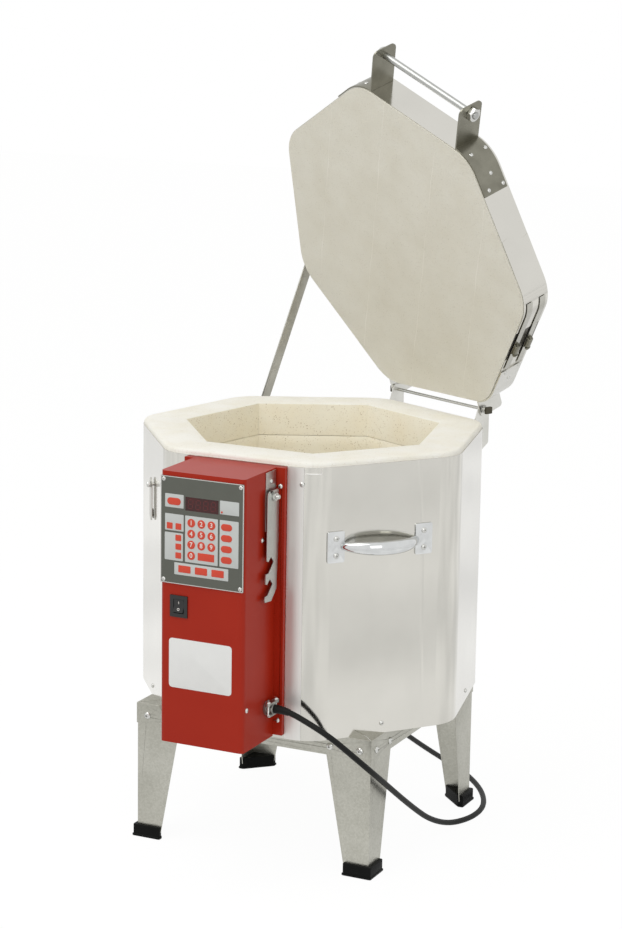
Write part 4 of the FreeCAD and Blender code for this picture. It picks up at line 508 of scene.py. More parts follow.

# Foot caps: moulded black vinyl boots, pushed onto the legs' ends and closed across the inner corner.
# They are dull with a soft highlight on their rounded edges.
FOOT_WALL = 4.0
FOOT_ARM = 40.0
FOOT_HIGH = 18.0
FOOT_LIP = 1.6
STAND_HALF = 190.0


def moved(shape, matrix):
    """The same surface in another place."""
    points, faces = shape
    return [matrix @ p for p in points], faces


def at(x, y, z):
    """A shift by that many millimetres."""
    return Matrix.Translation((x, y, z))


def three_sided_cap():
    """A boot round a corner of angle sheet, closed on its inner side by a diagonal wall."""
    corners = [
        Vector((-FOOT_WALL, -FOOT_WALL)),
        Vector((FOOT_ARM, -FOOT_WALL)),
        Vector((FOOT_ARM, 4)),
        Vector((4, FOOT_ARM)),
        Vector((-FOOT_WALL, FOOT_ARM)),
    ]
    outline = []
    for i, corner in enumerate(corners):
        before = (corners[i - 1] - corner).normalized() * 2.5
        after = (corners[(i + 1) % 5] - corner).normalized() * 2.5
        for share in (0, 0.25, 0.5, 0.75, 1):
            outline.append(corner + before * (1 - share) ** 2 + after * share**2)
    middle = sum(outline, Vector((0, 0))) / len(outline)
    rings = []
    for z, over in (
        (0, FOOT_LIP - 0.6),
        (0.7, FOOT_LIP),
        (2.8, FOOT_LIP),
        (3.8, 0),
        (FOOT_HIGH - 0.8, 0),
        (FOOT_HIGH, -0.8),
    ):
        rings.append([(*(p + (p - middle).normalized() * over), z) for p in outline])
    return loft(rings)


# Moulded vinyl is black and semi-matt, with a fine spark-eroded grain drawn 1 mm coarse.
VINYL_GRAIN = (1.0, 3.0, 0.4, 0.0002)
VINYL = finished(
    "black_vinyl_boot", 0.0, 0.5, (14.0, 5.0), "#060706", "#131413", VINYL_GRAIN, Specular_IOR_Level=0.1
)
cap = three_sided_cap()
quarters = [Matrix.Rotation(quarter * math.pi / 2, 4, "Z") for quarter in range(4)]
caps = [moved(cap, quarter @ at(-STAND_HALF, -STAND_HALF, 0)) for quarter in quarters]
put("foot_caps", "kiln", caps, VINYL, "black_rubber", "stand_feet", crease=40)

# Stand screws: zinc-plated steel machine screws with round heads and a cross recess, 10.5 mm across.
# They go through rail and leg, two on each side of each corner. The plate is bright, slightly blue-white
# and a little dulled by handling.
ZINC_PLATE = finished("bright_zinc_plate", 1.0, (0.24, 0.28), (14.0, 2.0), "#c4c4c0", "#d4d4d0")


def round_head(diameter, high, recess=True, around=40):
    """A domed head that stands on its own z = 0, with a cross recess for the driver."""
    shares = (0.0, 0.1, 0.2, 0.3, 0.36, 0.5, 0.66, 0.8, 0.91, 0.98, 1.0, 1.0)
    rings = []
    for n, share in enumerate(shares):
        radius = diameter / 2 * max(share, 0.004)
        ring = []
        for a in turns(around):
            height = high * (1 - 0.75 * share**3) if n < len(shares) - 1 else -0.05
            in_cross = min(abs(math.cos(a)), abs(math.sin(a))) * radius < 0.055 * diameter
            if recess and share < 0.33 and in_cross:
                height -= 0.5 * high
            ring.append(Vector((radius * math.cos(a), radius * math.sin(a), height)))
        rings.append(ring)
    return loft(rings, caps=False)


FACE_OUT = Matrix.Rotation(math.pi / 2, 4, "X")
FACE_RIGHT = Matrix.Rotation(math.pi / 2, 4, "Y")
FACE_LEFT = Matrix.Rotation(-math.pi / 2, 4, "Y")


def turned_head(shape, matrix, number):
    """A head in its place, its cross turned by a different angle for each screw."""
    return moved(shape, matrix @ Matrix.Rotation(number * 0.9, 4, "Z"))


def screw_heads(name, shape, spots, *stands_for):
    """One piece of all the kiln's screw heads of a kind, in their places."""
    heads = [turned_head(shape, spot, n) for n, spot in enumerate(spots)]
    put(name, "kiln", heads, ZINC_PLATE, "fixings", *stands_for, crease=50)


SCREW_ALONG = (-172, -125, 125, 172)
SCREW_Z = 188
stand_spots = [quarter @ at(x, -STAND_HALF, SCREW_Z) @ FACE_OUT for quarter in quarters for x in SCREW_ALONG]
screw_heads("stand_screw_heads", round_head(10.5, 3.2), stand_spots, "stand_screws")

# Base pan: a shallow galvanised tray, folded up round the chamber floor and screwed in by the jacket.
dress(["base_pan"], ZINC_SHEET)

# Firebricks: three courses of seven insulating bricks, the floor slab under them and the slab in the lid.
# They are cast and sawn from a light porous clay, cream outside and toasted yellower where the heat reaches.


def insulating_firebrick(name, pale, deep, speck, dark_grains=0.35):
    """Sawn insulating firebrick: chalky, with pores from 1 to 2.5 mm and a few dark grains in the clay."""
    material, tree, shader, place = finish_of(name, {"Roughness": 0.95, "Specular IOR Level": 0.2})
    dust = noise(tree, place, 3.0, 4.0)
    strewn = noise(tree, place, 11.0, 3.0)
    dots = []
    for size, full, patches in ((2.6, 1.0, (dust, 0.5, 0.62)), (3.2, dark_grains, (strewn, 0.42, 0.66))):
        dot = ranged(tree, cells(tree, place, size).outputs["Distance"], 0.12, 0.3, full, 0.0)
        dots.append(calculated(tree, "MULTIPLY", dot, ranged(tree, *patches)))
    pores, grains = dots
    clay = mixed(tree, ranged(tree, noise(tree, place, 48.0, 5.0), 0.35, 0.75), pale, deep)
    pitted = mixed(tree, calculated(tree, "MULTIPLY", pores, 0.3), clay, speck)
    bump = relief(tree, calculated(tree, "SUBTRACT", dust, pores), 0.7, 0.0006)
    feed(tree, shader, {"Base Color": mixed(tree, grains, pitted, speck), "Normal": bump})
    return material


WALL_IN = 173.85
Z_RIM = 606.85


def facet(k):
    """From facet 0, whose outward side is -y, to facet k, counted anticlockwise from the control box."""
    return Matrix.Rotation(2 * math.pi * k / 7, 4, "Z")


SAWN_BRICK = insulating_firebrick("sawn_firebrick", "#fdfbf3", "#f8f4e6", "#b39c70")
FIRED_BRICK = insulating_firebrick("fired_firebrick", "#fdf8e7", "#faf2dc", "#a68d60", 0.8)
COURSES = ("wall_course_1", "wall_course_2", "wall_course_3")
dress(COURSES[:2], SAWN_BRICK, 1.6)
dress(["floor_slab"], FIRED_BRICK, 1.0)
dress(["lid_slab"], insulating_firebrick("lid_firebrick", "#e8e5d9", "#e2ded0", "#b5ad98"), 2.0)
OUTWARDS = [Vector((math.sin(2 * math.pi * k / 7), -math.cos(2 * math.pi * k / 7))) for k in range(7)]
WALL_OUT = 237.35
BRICK_BEND = 60.0
COURSE_HIGH = 114.3
GROOVE_HIGH = 16.0
GROOVE_DEEP = 15.0
half_turn = math.pi / 7
flat_end = (WALL_OUT - BRICK_BEND) * math.tan(half_turn)
groove = Z_RIM - COURSE_HIGH / 2 - GROOVE_HIGH / 2
bricks = []
for k in range(7):
    stations = []
    for i in range(-8, 9):
        bent = max(abs(i) - 2, 0) / 6 * half_turn
        x = math.copysign(flat_end + BRICK_BEND * math.sin(bent), i) if abs(i) > 1 else flat_end * i / 2
        y = -(WALL_OUT - BRICK_BEND) - BRICK_BEND * math.cos(bent)
        inner_x = x * WALL_IN / WALL_OUT if abs(i) < 8 else math.copysign(WALL_IN * math.tan(half_turn), i)
        stations.append((Vector((inner_x * 0.9992, -WALL_IN)), Vector((x * 0.9992, y))))
    rings = []
    for inner, outer in stations:
        across = outer - inner
        deep = across.length
        profile = [
            (0, Z_RIM - COURSE_HIGH),
            (0, groove),
            (GROOVE_DEEP, groove),
            (GROOVE_DEEP, groove + GROOVE_HIGH),
            (0, groove + GROOVE_HIGH),
            (0, Z_RIM - 2.4),
            (0.7, Z_RIM - 0.7),
            (2.4, Z_RIM),
            (deep - 4.5, Z_RIM),
            (deep - 2.2, Z_RIM - 0.6),
            (deep - 0.6, Z_RIM - 2.2),
            (deep, Z_RIM - 4.5),
            (deep, Z_RIM - COURSE_HIGH),
        ]
        rings.append([(*(inner + across.normalized() * d), z) for d, z in profile])
    bricks.append(moved(loft(rings), facet(k)))
top_course = put("top_course_bricks", "kiln", bricks, SAWN_BRICK, "firebrick", "wall_course_3", crease=45)
for mesh in (*[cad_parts[name].data for name in COURSES[:2]], top_course.data):
    mesh.materials.append(FIRED_BRICK)
    for face in mesh.polygons:
        middle = Vector(face.center[:2]) / MM
        out = max(middle.dot(n) for n in OUTWARDS)
        on_rim = face.normal.z > 0.9 and abs(face.center.z / MM - Z_RIM) < 0.5
        if out < WALL_IN + 18 and not on_rim:
            face.material_index = 1

# Groove lips: the low edge of brick that each groove keeps in front of its element, so that only a narrow
# slot shows from above. It is cut from the same brick, seven straight lengths to a course.
LIP_HIGH = 15.3
LIP_THICK = 1.7
LIP = ((0, 0), (0, LIP_HIGH - 0.6), (0.5, LIP_HIGH), (LIP_THICK, LIP_HIGH), (LIP_THICK, 0))
lips = []
for course in range(3):
    low = groove - COURSE_HIGH * course
    for k in range(7):
        ends = []
        for sign in (-1, 1):
            corner = [(sign * ((WALL_IN + d) * math.tan(half_turn) - 0.1), -(WALL_IN + d)) for d, z in LIP]
            ends.append([(*spot, low + z) for spot, (d, z) in zip(corner, LIP)])
        lips.append(moved(loft(ends), facet(k)))
put("groove_lips", "kiln", lips, FIRED_BRICK, "firebrick", crease=45)

# Heating elements: resistance wire wound into close coils, laid in the groove of each course and pinned.
# Fired wire has a matt pale oxide skin, dusted by the brick and uneven from turn to turn; its two thick
# tails go through the wall to the box.
ELEMENT_FLAT = WALL_IN + 2 + 5.5
ELEMENT_LOW = 318.6
WIRE = 2.0
WIND_RADIUS = 4.4
WIND_PITCH = 4.6
FIRED_WIRE = finished("oxidised_resistance_wire", 0.1, 0.85, (8.0, 4.0), "#dccfaa", "#efe6ca")

# The element's line is seven flats joined by round corners.
CORNER_BEND = 9
corner_out = (ELEMENT_FLAT - CORNER_BEND) / math.cos(half_turn)
ring_line = []
for corner in range(7):
    middle = -math.pi / 2 + half_turn + corner * 2 * half_turn
    centre = Vector((corner_out * math.cos(middle), corner_out * math.sin(middle)))
    for i in range(7):
        a = middle - half_turn + 2 * half_turn * i / 6
        ring_line.append(centre + CORNER_BEND * Vector((math.cos(a), math.sin(a))))
lengths = [0.0]
for i, spot in enumerate(ring_line):
    lengths.append(lengths[-1] + (ring_line[(i + 1) % len(ring_line)] - spot).length)
TAILS = (9.0, -15.0)
start_at = lengths[-1] - (ring_line[0].x - TAILS[0])
around_length = lengths[-1] - (TAILS[0] - TAILS[1])


def along_ring(distance):
    """The place on the element's ring after that distance, and its direction."""
    distance = distance % lengths[-1]
    i = max(n for n in range(len(ring_line)) if lengths[n] <= distance)
    here = ring_line[i]
    there = ring_line[(i + 1) % len(ring_line)]
    heading = (there - here).normalized()
    return here + heading * (distance - lengths[i]), heading


windings = []
winding_points = int(around_length / WIND_PITCH * 8)
for course in range(3):
    z = ELEMENT_LOW + COURSE_HIGH * course
    path = []
    for i in range(winding_points + 1):
        spot, way = along_ring(start_at + around_length * i / winding_points)
        out = Vector((way.y, -way.x))
        a = 2 * math.pi * i / 8
        spot = spot + out * WIND_RADIUS * math.cos(a)
        path.append(Vector((spot.x, spot.y, z + WIND_RADIUS * math.sin(a))))
    windings.append(tube(path, [WIRE / 2] * len(path), 5))
    for x in TAILS:
        tail = [Vector((x, y, z)) for y in (-ELEMENT_FLAT + 3, -ELEMENT_FLAT - 82)]
        windings.append(tube(tail, [1.6, 1.6], 12))
put("element_coils", "kiln", windings, FIRED_WIRE, "element_wire", "heating_elements", crease=60)

# Jacket: one 0.8 mm stainless sheet, mirror-rolled, wrapped round the bricks and lapped beside the box.
# Its flats are a little wavy, so what it reflects wanders, and a fine vertical polish shows near by.
SKIN_OUT = 238.447
SKIN_BEND = 61.1
FLAT_HALF = 85.41
CORNER_OUT = SKIN_OUT - SKIN_BEND
Z_JACKET = 599.85
Z_STAND = 206.0


def mirror_stainless():
    """Bright-annealed stainless: a clear reflection, softened by polish lines 0.6 mm apart and slow waves.
    One soft upright crease wanders down the facet right of the control box."""
    material, tree, shader, place = finish_of("mirror_rolled_stainless", {"Metallic": 1.0})
    polish = noise(tree, place, (0.6, 0.6, 40.0), 2.0)
    upright = add(tree, "ShaderNodeMapping", {"Vector": place, "Scale": (1.0, 1.0, 0.35)}).outputs[0]
    turned = add(tree, "ShaderNodeMapping", {"Vector": place, "Rotation": (0, 0, -2 * math.pi / 7)})
    along = add(tree, "ShaderNodeSeparateXYZ", {"Vector": turned.outputs[0]})
    line = calculated(tree, "MULTIPLY_ADD", noise(tree, upright, 220.0, 1.0), 0.11, -0.007)
    off = calculated(tree, "ABSOLUTE", calculated(tree, "SUBTRACT", along.outputs[0], line))
    crease = ranged(tree, off, 0.0, 0.003, 1.0, 0.0)
    shape = relief(tree, noise(tree, upright, 170.0, 1.0), 1.0, 0.0012)
    shape = relief(tree, crease, 0.8, 0.0004, shape)
    shape = relief(tree, polish, 0.05, 0.0001, shape)
    colour = mixed(tree, noise(tree, place, 90.0, 4.0), "#cac8c1", "#d9d7d0")
    rough = ranged(tree, polish, 0.0, 1.0, 0.07, 0.17)
    feed(tree, shader, {"Base Color": colour, "Roughness": rough, "Normal": shape})
    return material


# The lap is the same steel rubbed upright, which blurs what stands beside it.
UPRIGHT = (0.8, 0.8, 60.0)
BRUSHED = finished("brushed_lap_stainless", 1.0, (0.42, 0.56), (UPRIGHT, 2.0), "#dddcd8", "#ecebe7")
MIRROR = mirror_stainless()
dress(["jacket"], MIRROR)


def skin_line(over, start, end, count):
    """A line laid on the jacket, or over it by that much, in the frame of the facet that it starts on."""
    line = []
    for i in range(count + 1):
        x = start + (end - start) * i / count
        past = abs(x) - FLAT_HALF
        out = SKIN_OUT + over
        if past > 0:
            out = CORNER_OUT + math.sqrt((SKIN_BEND + over) ** 2 - past**2)
        line.append(Vector((x, -out)))
    return line


def sheet_strip(over, thick, start, end, low, high, count):
    """A strip of sheet that follows the jacket round a corner."""
    inner = skin_line(over, start, end, count)
    outer = skin_line(over + thick, start, end, count)
    rings = []
    for a, b in zip(inner, outer):
        rings.append([(a.x, a.y, low), (b.x, b.y, low), (b.x, b.y, high), (a.x, a.y, high)])
    return loft(rings)


LAP_START = 76.6
LAP_END = 101.0
FOLD_END = 122.5
FOLD_Z = 591.0
lap = sheet_strip(0.05, 0.8, LAP_START, LAP_END, Z_STAND + 0.3, Z_JACKET - 0.2, 30)
fold_line = skin_line(0.1, LAP_END + 0.6, FOLD_END, 10)
fold = [Vector((p.x, p.y, FOLD_Z)) for p in fold_line]
fold = [fold[0].xy.to_3d(), *fold, fold[-1].xy.to_3d()]
fold[0].z = fold[-1].z = Z_JACKET - 1
lap_parts = [lap, tube(fold, [0.9] * len(fold), 10)]
put("jacket_lap", "kiln", lap_parts, BRUSHED, "stainless", crease=25)

# Jacket screws: zinc-plated pan-head sheet screws, one low on each facet into the pan, and those of the
# hinge ears, the brace's stud plate and the lap beside the control box.
# Each facet is named for its place or for what it carries, and the control box is on facet 0.
RIGHT_SIDE = 1
CLAMP_SIDE = 2
HINGE_SIDE = 3
BRACE_SIDE = 4
LEFT_SIDE = 5
PEEPHOLE_SIDE = 6
PAN_SCREW_Z = 220.6
EAR_SCREWS = ((-65, 566.85), (-65, 588.85), (83, 566.85), (83, 588.85))
PLATE_OUT = SKIN_OUT + 2
STUD_OUT = 83.57
STUD_Z = 542.4
PAST_STUD = 6.4
STUD_PLATE = 36
SCREW_INSET = 8
STUD_ALONG = (SKIN_OUT * math.cos(2 * math.pi / 7) - STUD_OUT) / math.sin(2 * math.pi / 7)
jacket_spots = [facet(k) @ at(0, -SKIN_OUT, PAN_SCREW_Z) @ FACE_OUT for k in range(1, 7)]
jacket_spots += [facet(HINGE_SIDE) @ at(x, -PLATE_OUT, z) @ FACE_OUT for x, z in EAR_SCREWS]
stud_screw_x = STUD_ALONG + PAST_STUD - STUD_PLATE + SCREW_INSET
jacket_spots += [facet(BRACE_SIDE) @ at(stud_screw_x, -PLATE_OUT, STUD_Z + r) @ FACE_OUT for r in (-8, 8)]
sheet_head = round_head(7.0, 2.2)
screw_heads("jacket_screw_heads", sheet_head, jacket_spots, "jacket_screws")
LAP_SCREW = 98.7
LAP_SCREW_Z = 576.0
lap_place = skin_line(0.85, LAP_SCREW, LAP_SCREW, 1)[0]
lap_turn = Matrix.Rotation(math.asin((LAP_SCREW - FLAT_HALF) / SKIN_BEND), 4, "Z")
screw_heads("lap_screw_head", sheet_head, [at(lap_place.x, lap_place.y, LAP_SCREW_Z) @ lap_turn @ FACE_OUT])

# Lifting handles: pressed steel pulls, chrome plated, one on the right facet and one on the left rear one.
# Each is a bowed bar, flattened and wider in the middle, that runs into a plate with two screws at each end.
HANDLE_X = -9.0
HANDLE_Z = 486.0
HANDLE_HALF = 69.0
GRIP_HALF = 57.5
GRIP_REACH = 32.0
PLATE_WIDE = 27.0
PLATE_HIGH = 45.0
PLATE_THICK = 2.5
PLATE_SCREW_RISE = 12.25
# Chromium plate is a cool, nearly perfect mirror with faint press marks.
CHROME = finished("chrome_plate", 1.0, (0.05, 0.16), (20.0, 4.0), "#c4c6c6", "#dfe0df")


def rounded_ring(wide, high, radius, z):
    """A rectangle with round corners at that height, centred on the z axis."""
    ring = []
    for n, (sx, sy) in enumerate(((1, 1), (-1, 1), (-1, -1), (1, -1))):
        for i in range(7):
            a = math.pi / 2 * (n + i / 6)
            x = sx * (wide / 2 - radius) + radius * math.cos(a)
            y = sy * (high / 2 - radius) + radius * math.sin(a)
            ring.append((x, y, z))
    return ring


def raised(wide, high, radius, low, top, edge):
    """A flat-topped raised shape with an eased upper edge, standing along its own z."""
    rings = []
    for inset, z in ((0, low), (0, top - edge), (0.3 * edge, top - 0.3 * edge), (edge, top)):
        rings.append(rounded_ring(wide - 2 * inset, high - 2 * inset, max(radius - inset, 0.01), z))
    return loft(rings)


handle_spots = []
for name, k in (("handle_right", RIGHT_SIDE), ("handle_left", LEFT_SIDE)):
    onto = facet(k) @ at(HANDLE_X, -SKIN_OUT, HANDLE_Z)
    shapes = []
    for sign in (-1, 1):
        plate = raised(PLATE_WIDE, PLATE_HIGH, 3.0, 0.05, PLATE_THICK, 0.6)
        shapes.append(moved(plate, onto @ at(sign * HANDLE_HALF, 0, 0) @ FACE_OUT))
        for rise in (-PLATE_SCREW_RISE, PLATE_SCREW_RISE):
            handle_spots.append(onto @ at(sign * HANDLE_HALF, -PLATE_THICK, rise) @ FACE_OUT)
    grip = []
    for i in range(45):
        share = math.sin((i / 44 - 0.5) * math.pi)
        x = GRIP_HALF * share
        lift = GRIP_REACH * (1 - abs(share) ** 2.4)
        slope = -GRIP_REACH * 2.4 * abs(share) ** 1.4 * math.copysign(1, share) / GRIP_HALF
        full = (1 - share**2) ** 0.4
        high = 7.0 + 13.0 * full
        deep = 4.2 + 3.0 * full
        along = Vector((1, -slope, 0)).normalized()
        outward = Vector((along.y, -along.x, 0))
        spot = Vector((x, -lift - 0.4, 0))
        ring = []
        for a in turns(28):
            back = math.sin(a) if math.sin(a) > 0 else 0.35 * math.sin(a)
            ring.append(spot + outward * deep * back + Vector((0, 0, high / 2 * math.cos(a))))
        grip.append(ring)
    shapes.append(moved(loft(grip), onto))
    put(name + "_pull", "kiln", shapes, CHROME, "handle_chrome", name, crease=40)
screw_heads("handle_screw_heads", round_head(8.4, 2.2), handle_spots, "handle_screws")

# Hinge: two ears folded from 2 mm stainless and screwed to the jacket, and two plates wrapped onto the lid.
# A plain rod goes through them, and a dark spring-steel clip holds it at each end.


def sheared_stainless(name, dark, light):
    """Mill-finish stainless plate: duller than the jacket, with rolling lines 1 mm apart and some stains."""
    material, tree, shader, place = finish_of(name, {"Metallic": 1.0})
    rolled = noise(tree, place, (14.0, 14.0, 1.0), 3.0)
    colour = mixed(tree, noise(tree, place, 24.0, 4.0), dark, light)
    rough = ranged(tree, rolled, 0.0, 1.0, 0.22, 0.4)
    bump = relief(tree, rolled, 0.2, 0.0001)
    feed(tree, shader, {"Base Color": colour, "Roughness": rough, "Normal": bump})
    return material


SHEARED = sheared_stainless("sheared_stainless", "#a9a79d", "#cfcec7")
WEATHERED = sheared_stainless("weathered_stainless", "#6f6d62", "#989689")
POLISHED = sheared_stainless("polished_hinge_stainless", "#cbcac3", "#e4e3de")
# This dark finish serves the hinge clips, and also paints the shadow in the lid band's gap.
DARK_STEEL_AND_GAP_SHADOW = sheared_stainless("heat_darkened_steel_and_gap_shadow", "#3d3a33", "#5c584c")
hinge_sheet = [f"{part}_{end}" for part in ("hinge_ear", "lid_hinge_plate") for end in ("left", "right")]
dress(hinge_sheet, POLISHED, 0.4)
dress(["hinge_rod"], ZINC_PLATE, 0.4)
HINGE_OUT = 257.0
Z_HINGE = Z_RIM + 12.0
ROD_ENDS = ((-102.4, FACE_LEFT), (120.4, FACE_RIGHT))
clip = raised(10.6, 12.6, 1.4, -3.3, 0.3, 0.5)
clips = [moved(clip, facet(HINGE_SIDE) @ at(x, -HINGE_OUT, Z_HINGE) @ way) for x, way in ROD_ENDS]
put("hinge_push_nuts", "kiln", clips, DARK_STEEL_AND_GAP_SHADOW, "fixings", crease=40)

# Lid: a slab of the same brick in a stainless band, open at rest. What is added to it is drawn on the closed
# lid and swung open with it. Fine cement joints run across the slab. Two worm-drive clamps draw the band's
# ends together over a gap on the right rear facet, and a lapped end shows on the facet before it.
Z_LID = Z_RIM + 0.3
OPEN_ANGLE = math.radians(70.5)
hinge_turn = HINGE_SIDE * 2 * math.pi / 7
hinge_spot = Vector((HINGE_OUT * math.sin(hinge_turn), -HINGE_OUT * math.cos(hinge_turn), Z_HINGE))
hinge_axis = Vector((math.cos(hinge_turn), math.sin(hinge_turn), 0))
OPEN_LID = at(*hinge_spot) @ Matrix.Rotation(OPEN_ANGLE, 4, hinge_axis) @ at(*-hinge_spot)
dress(["lid_band"], MIRROR)
JOINT_STEP = 107.0
JOINT_X = -57.0
SLAB_EDGE = 231.0
joints = []
for n in range(-1, 3):
    x = n * JOINT_STEP + JOINT_X
    ends = [-SLAB_EDGE, SLAB_EDGE]
    for way in OUTWARDS:
        if abs(way.y) > 0.01:
            limit = (SLAB_EDGE - way.x * x) / way.y
            ends = [max(ends[0], limit), ends[1]] if way.y < 0 else [ends[0], min(ends[1], limit)]
    low = Z_LID - 0.08
    high = Z_LID + 0.4
    seam = []
    for i in range(41):
        y = ends[0] + (ends[1] - ends[0]) * i / 40
        shift = 0.7 * math.sin(y / 17 + n) + 0.4 * math.sin(y / 6.1)
        wide = 0.5 + 0.25 * math.sin(y / 23 + 2 * n)
        left = x + shift - wide
        right = x + shift + wide
        seam.append([(left, y, high), (left, y, low), (right, y, low), (right, y, high)])
    joints.append(moved(loft(seam), OPEN_LID))
kiln_cement = insulating_firebrick("kiln_cement", "#f1eee4", "#e9e5d8", "#b5ad98")
put("lid_brick_joints", "lid", joints, kiln_cement, "firebrick")
CLAMP_RISES = (12, 38)
STRAP_HALF = 5.5
STRAP_ENDS = (-112, 34)
straps = []
clamp_parts = []
onto = OPEN_LID @ facet(CLAMP_SIDE)
face = SKIN_OUT + 1.6
for rise in CLAMP_RISES:
    z = Z_LID + rise
    straps.append(moved(sheet_strip(0.9, 0.7, *STRAP_ENDS, z - STRAP_HALF, z + STRAP_HALF, 40), onto))
    housing = []
    for x, trim in ((-23.5, 0.6), (-22.9, 0.0), (-7.1, 0.0), (-6.5, 0.6)):
        ring = [(x, -face, z - 5.2 + trim), (x, -face - 2.2, z - 5.2 + trim)]
        for i in range(9):
            a = math.pi * i / 8
            ring.append((x, -face - 2.4 - (4.2 - trim) * math.sin(a), z - (4.6 - trim) * math.cos(a)))
        ring += [(x, -face - 2.2, z + 5.2 - trim), (x, -face, z + 5.2 - trim)]
        housing.append(ring)
    clamp_parts.append(moved(loft(housing), onto))
    worm = [Vector((x, -face - 3.3, z)) for x in (-25.4, -24.9, -6, -5.9, -4.2, -4.1, -0.9, -0.4)]
    clamp_parts.append(moved(tube(worm, [2.6, 3.0, 3.0, 4.2, 4.2, 3.2, 3.2, 2.7], 20), onto))
put("band_clamp_straps", "lid", straps, SHEARED, "fixings", "band_clamps", crease=35)
put("band_clamp_worms", "lid", clamp_parts, WEATHERED, "fixings", crease=35)
# Painted shadow: a dark sheet laid under the straps across the band's gap, standing for the shade in the gap.
gap_shadow_sheet = moved(sheet_strip(-0.78, 0.25, -54, 10, Z_LID + 2, Z_LID + 49.5, 8), onto)
put("band_gap_shadow_sheet", "lid", [gap_shadow_sheet], DARK_STEEL_AND_GAP_SHADOW, "stainless")

SEAM_X = 17.5
SEAM_SWAY = 4.5
LAP_LONG = 45.0
far = SEAM_X + LAP_LONG
out = -SKIN_OUT
seam = []
for i in range(25):
    share = i / 24
    x = SEAM_X + SEAM_SWAY * math.sin((share - 0.5) * 5.2)
    z = Z_LID + 1.6 + 48.3 * share
    seam.append([(x, out, z), (x, out - 0.45, z), (far, out - 0.04, z), (far, out, z)])
lapped = moved(loft(seam), OPEN_LID @ facet(RIGHT_SIDE))
put("band_lapped_end", "lid", [lapped], MIRROR, "stainless", crease=25)

# Lid handle: a 10 mm cold-drawn rod through two weathered brackets, threaded at its ends and held by a nut
# on each. The rod is an even mid grey with soft draw lines.
dress(["lid_handle_bracket_left", "lid_handle_bracket_right"], WEATHERED, 0.4)
ROD_OUT = SKIN_OUT + 52.0
ROD_Z = Z_LID + 26.0
POST = 87.0
NUT_ACROSS = 19.0
DRAWN_STEEL = finished("cold_drawn_steel", 1.0, 0.34, ((60.0, 0.8, 0.8), 2.0), "#a3a4a0", "#bdbebb")


def circle(radius, z, around):
    """A ring of points round the z axis."""
    return [(radius * math.cos(a), radius * math.sin(a), z) for a in turns(around)]


def hexagon_nut(across, thick, bore, around=48):
    """A hexagon nut with its corners turned off at both ends, standing along its own z."""
    rings = []
    for share, limit in ((0, 0.5), (0.09, 0.545), (0.16, 1), (0.84, 1), (0.91, 0.545), (1, 0.5)):
        ring = []
        for a in turns(around):
            flat_angle = (a + math.pi / 6) % (math.pi / 3) - math.pi / 6
            radius = min(across / 2 / math.cos(flat_angle), across * limit)
            ring.append((radius * math.cos(a), radius * math.sin(a), share * thick))
        rings.append(ring)
    for share, z in ((0.56, thick), (0.5, thick - 0.06 * bore), (0.5, 0.06 * bore), (0.56, 0)):
        rings.append(circle(share * bore, z, around))
    rings.append(rings[0])
    return loft(rings, caps=False)


def threaded_rod(start, end, diameter, threads, pitch=1.5, around=20):
    """A rod along its own z with a chamfer at each end and screw thread over the given stretches."""
    stations = [(start, 0.8), (start + 0.8, 1.0)]
    for low, high in threads:
        z = low
        while z < high:
            stations += [(z, 1.0), (z + pitch / 2, 0.88)]
            z += pitch
        stations.append((high, 1.0))
    stations += [(end - 0.8, 1.0), (end, 0.8)]
    return loft([circle(diameter / 2 * share, z, around) for z, share in sorted(stations)])


onto = OPEN_LID @ at(0, -ROD_OUT, ROD_Z) @ FACE_RIGHT
reach = POST + 12.5
rod = threaded_rod(-reach, reach, 10.0, ((-reach + 1, -POST - 3), (POST + 3, reach - 1)))
put("lid_handle_bar", "lid", [moved(rod, onto)], DRAWN_STEEL, "fixings", "lid_handle_rod", crease=30)
lid_nut = hexagon_nut(NUT_ACROSS, 8.0, 10.1)
nut_places = (at(0, 0, POST + 2.0), at(0, 0, -POST - 10.0) @ Matrix.Rotation(0.4, 4, "Z"))
nuts = [moved(lid_nut, onto @ place) for place in nut_places]
put("lid_handle_nut_pair", "lid", nuts, ZINC_PLATE, "fixings", "lid_handle_nuts", crease=25)

# Lid fixings: steel rivets with low domes through the wrapped feet of plates and brackets into the band,
# and the shouldered bolt on which the brace turns.
CORNER_AT = SKIN_OUT * math.tan(half_turn)
FEET_OUT = 2.1
rivet = round_head(6.0, 1.4, recess=False, around=24)
rivets = []
for k, foot, web in ((HINGE_SIDE, 77.0, 77.0), (0, 61.0, 89.0)):
    past = web + 20 - FLAT_HALF
    out = CORNER_OUT + math.sqrt((SKIN_BEND + FEET_OUT) ** 2 - past**2)
    for sign in (1, -1):
        for back, rise in ((0, 13), (0, 41), (21, 27)):
            place = at(sign * (foot - CORNER_AT - 7 - back), -SKIN_OUT - FEET_OUT, Z_LID + rise)
            rivets.append(moved(rivet, OPEN_LID @ facet(k + sign) @ place @ FACE_OUT))
        lean = Matrix.Rotation(sign * math.asin(past / SKIN_BEND), 4, "Z")
        for rise in (13, 41):
            place = at(sign * (web + 20), -out, Z_LID + rise) @ lean
            rivets.append(moved(rivet, OPEN_LID @ facet(k) @ place @ FACE_OUT))
PIVOT = (256.02, -43.8, Z_LID + 26)
brace_head = OPEN_LID @ facet(HINGE_SIDE) @ at(*PIVOT) @ FACE_RIGHT
rivets.append(moved(round_head(13.0, 3.0), brace_head))
put("lid_rivets", "lid", rivets, ZINC_PLATE, "fixings", "lid_fixings", crease=50)

# Lid brace: a strip of bright steel from the lid's left side to a stud on the jacket, where its notch sits.
dress(["lid_brace", "support_stud"], SHEARED, 0.4)

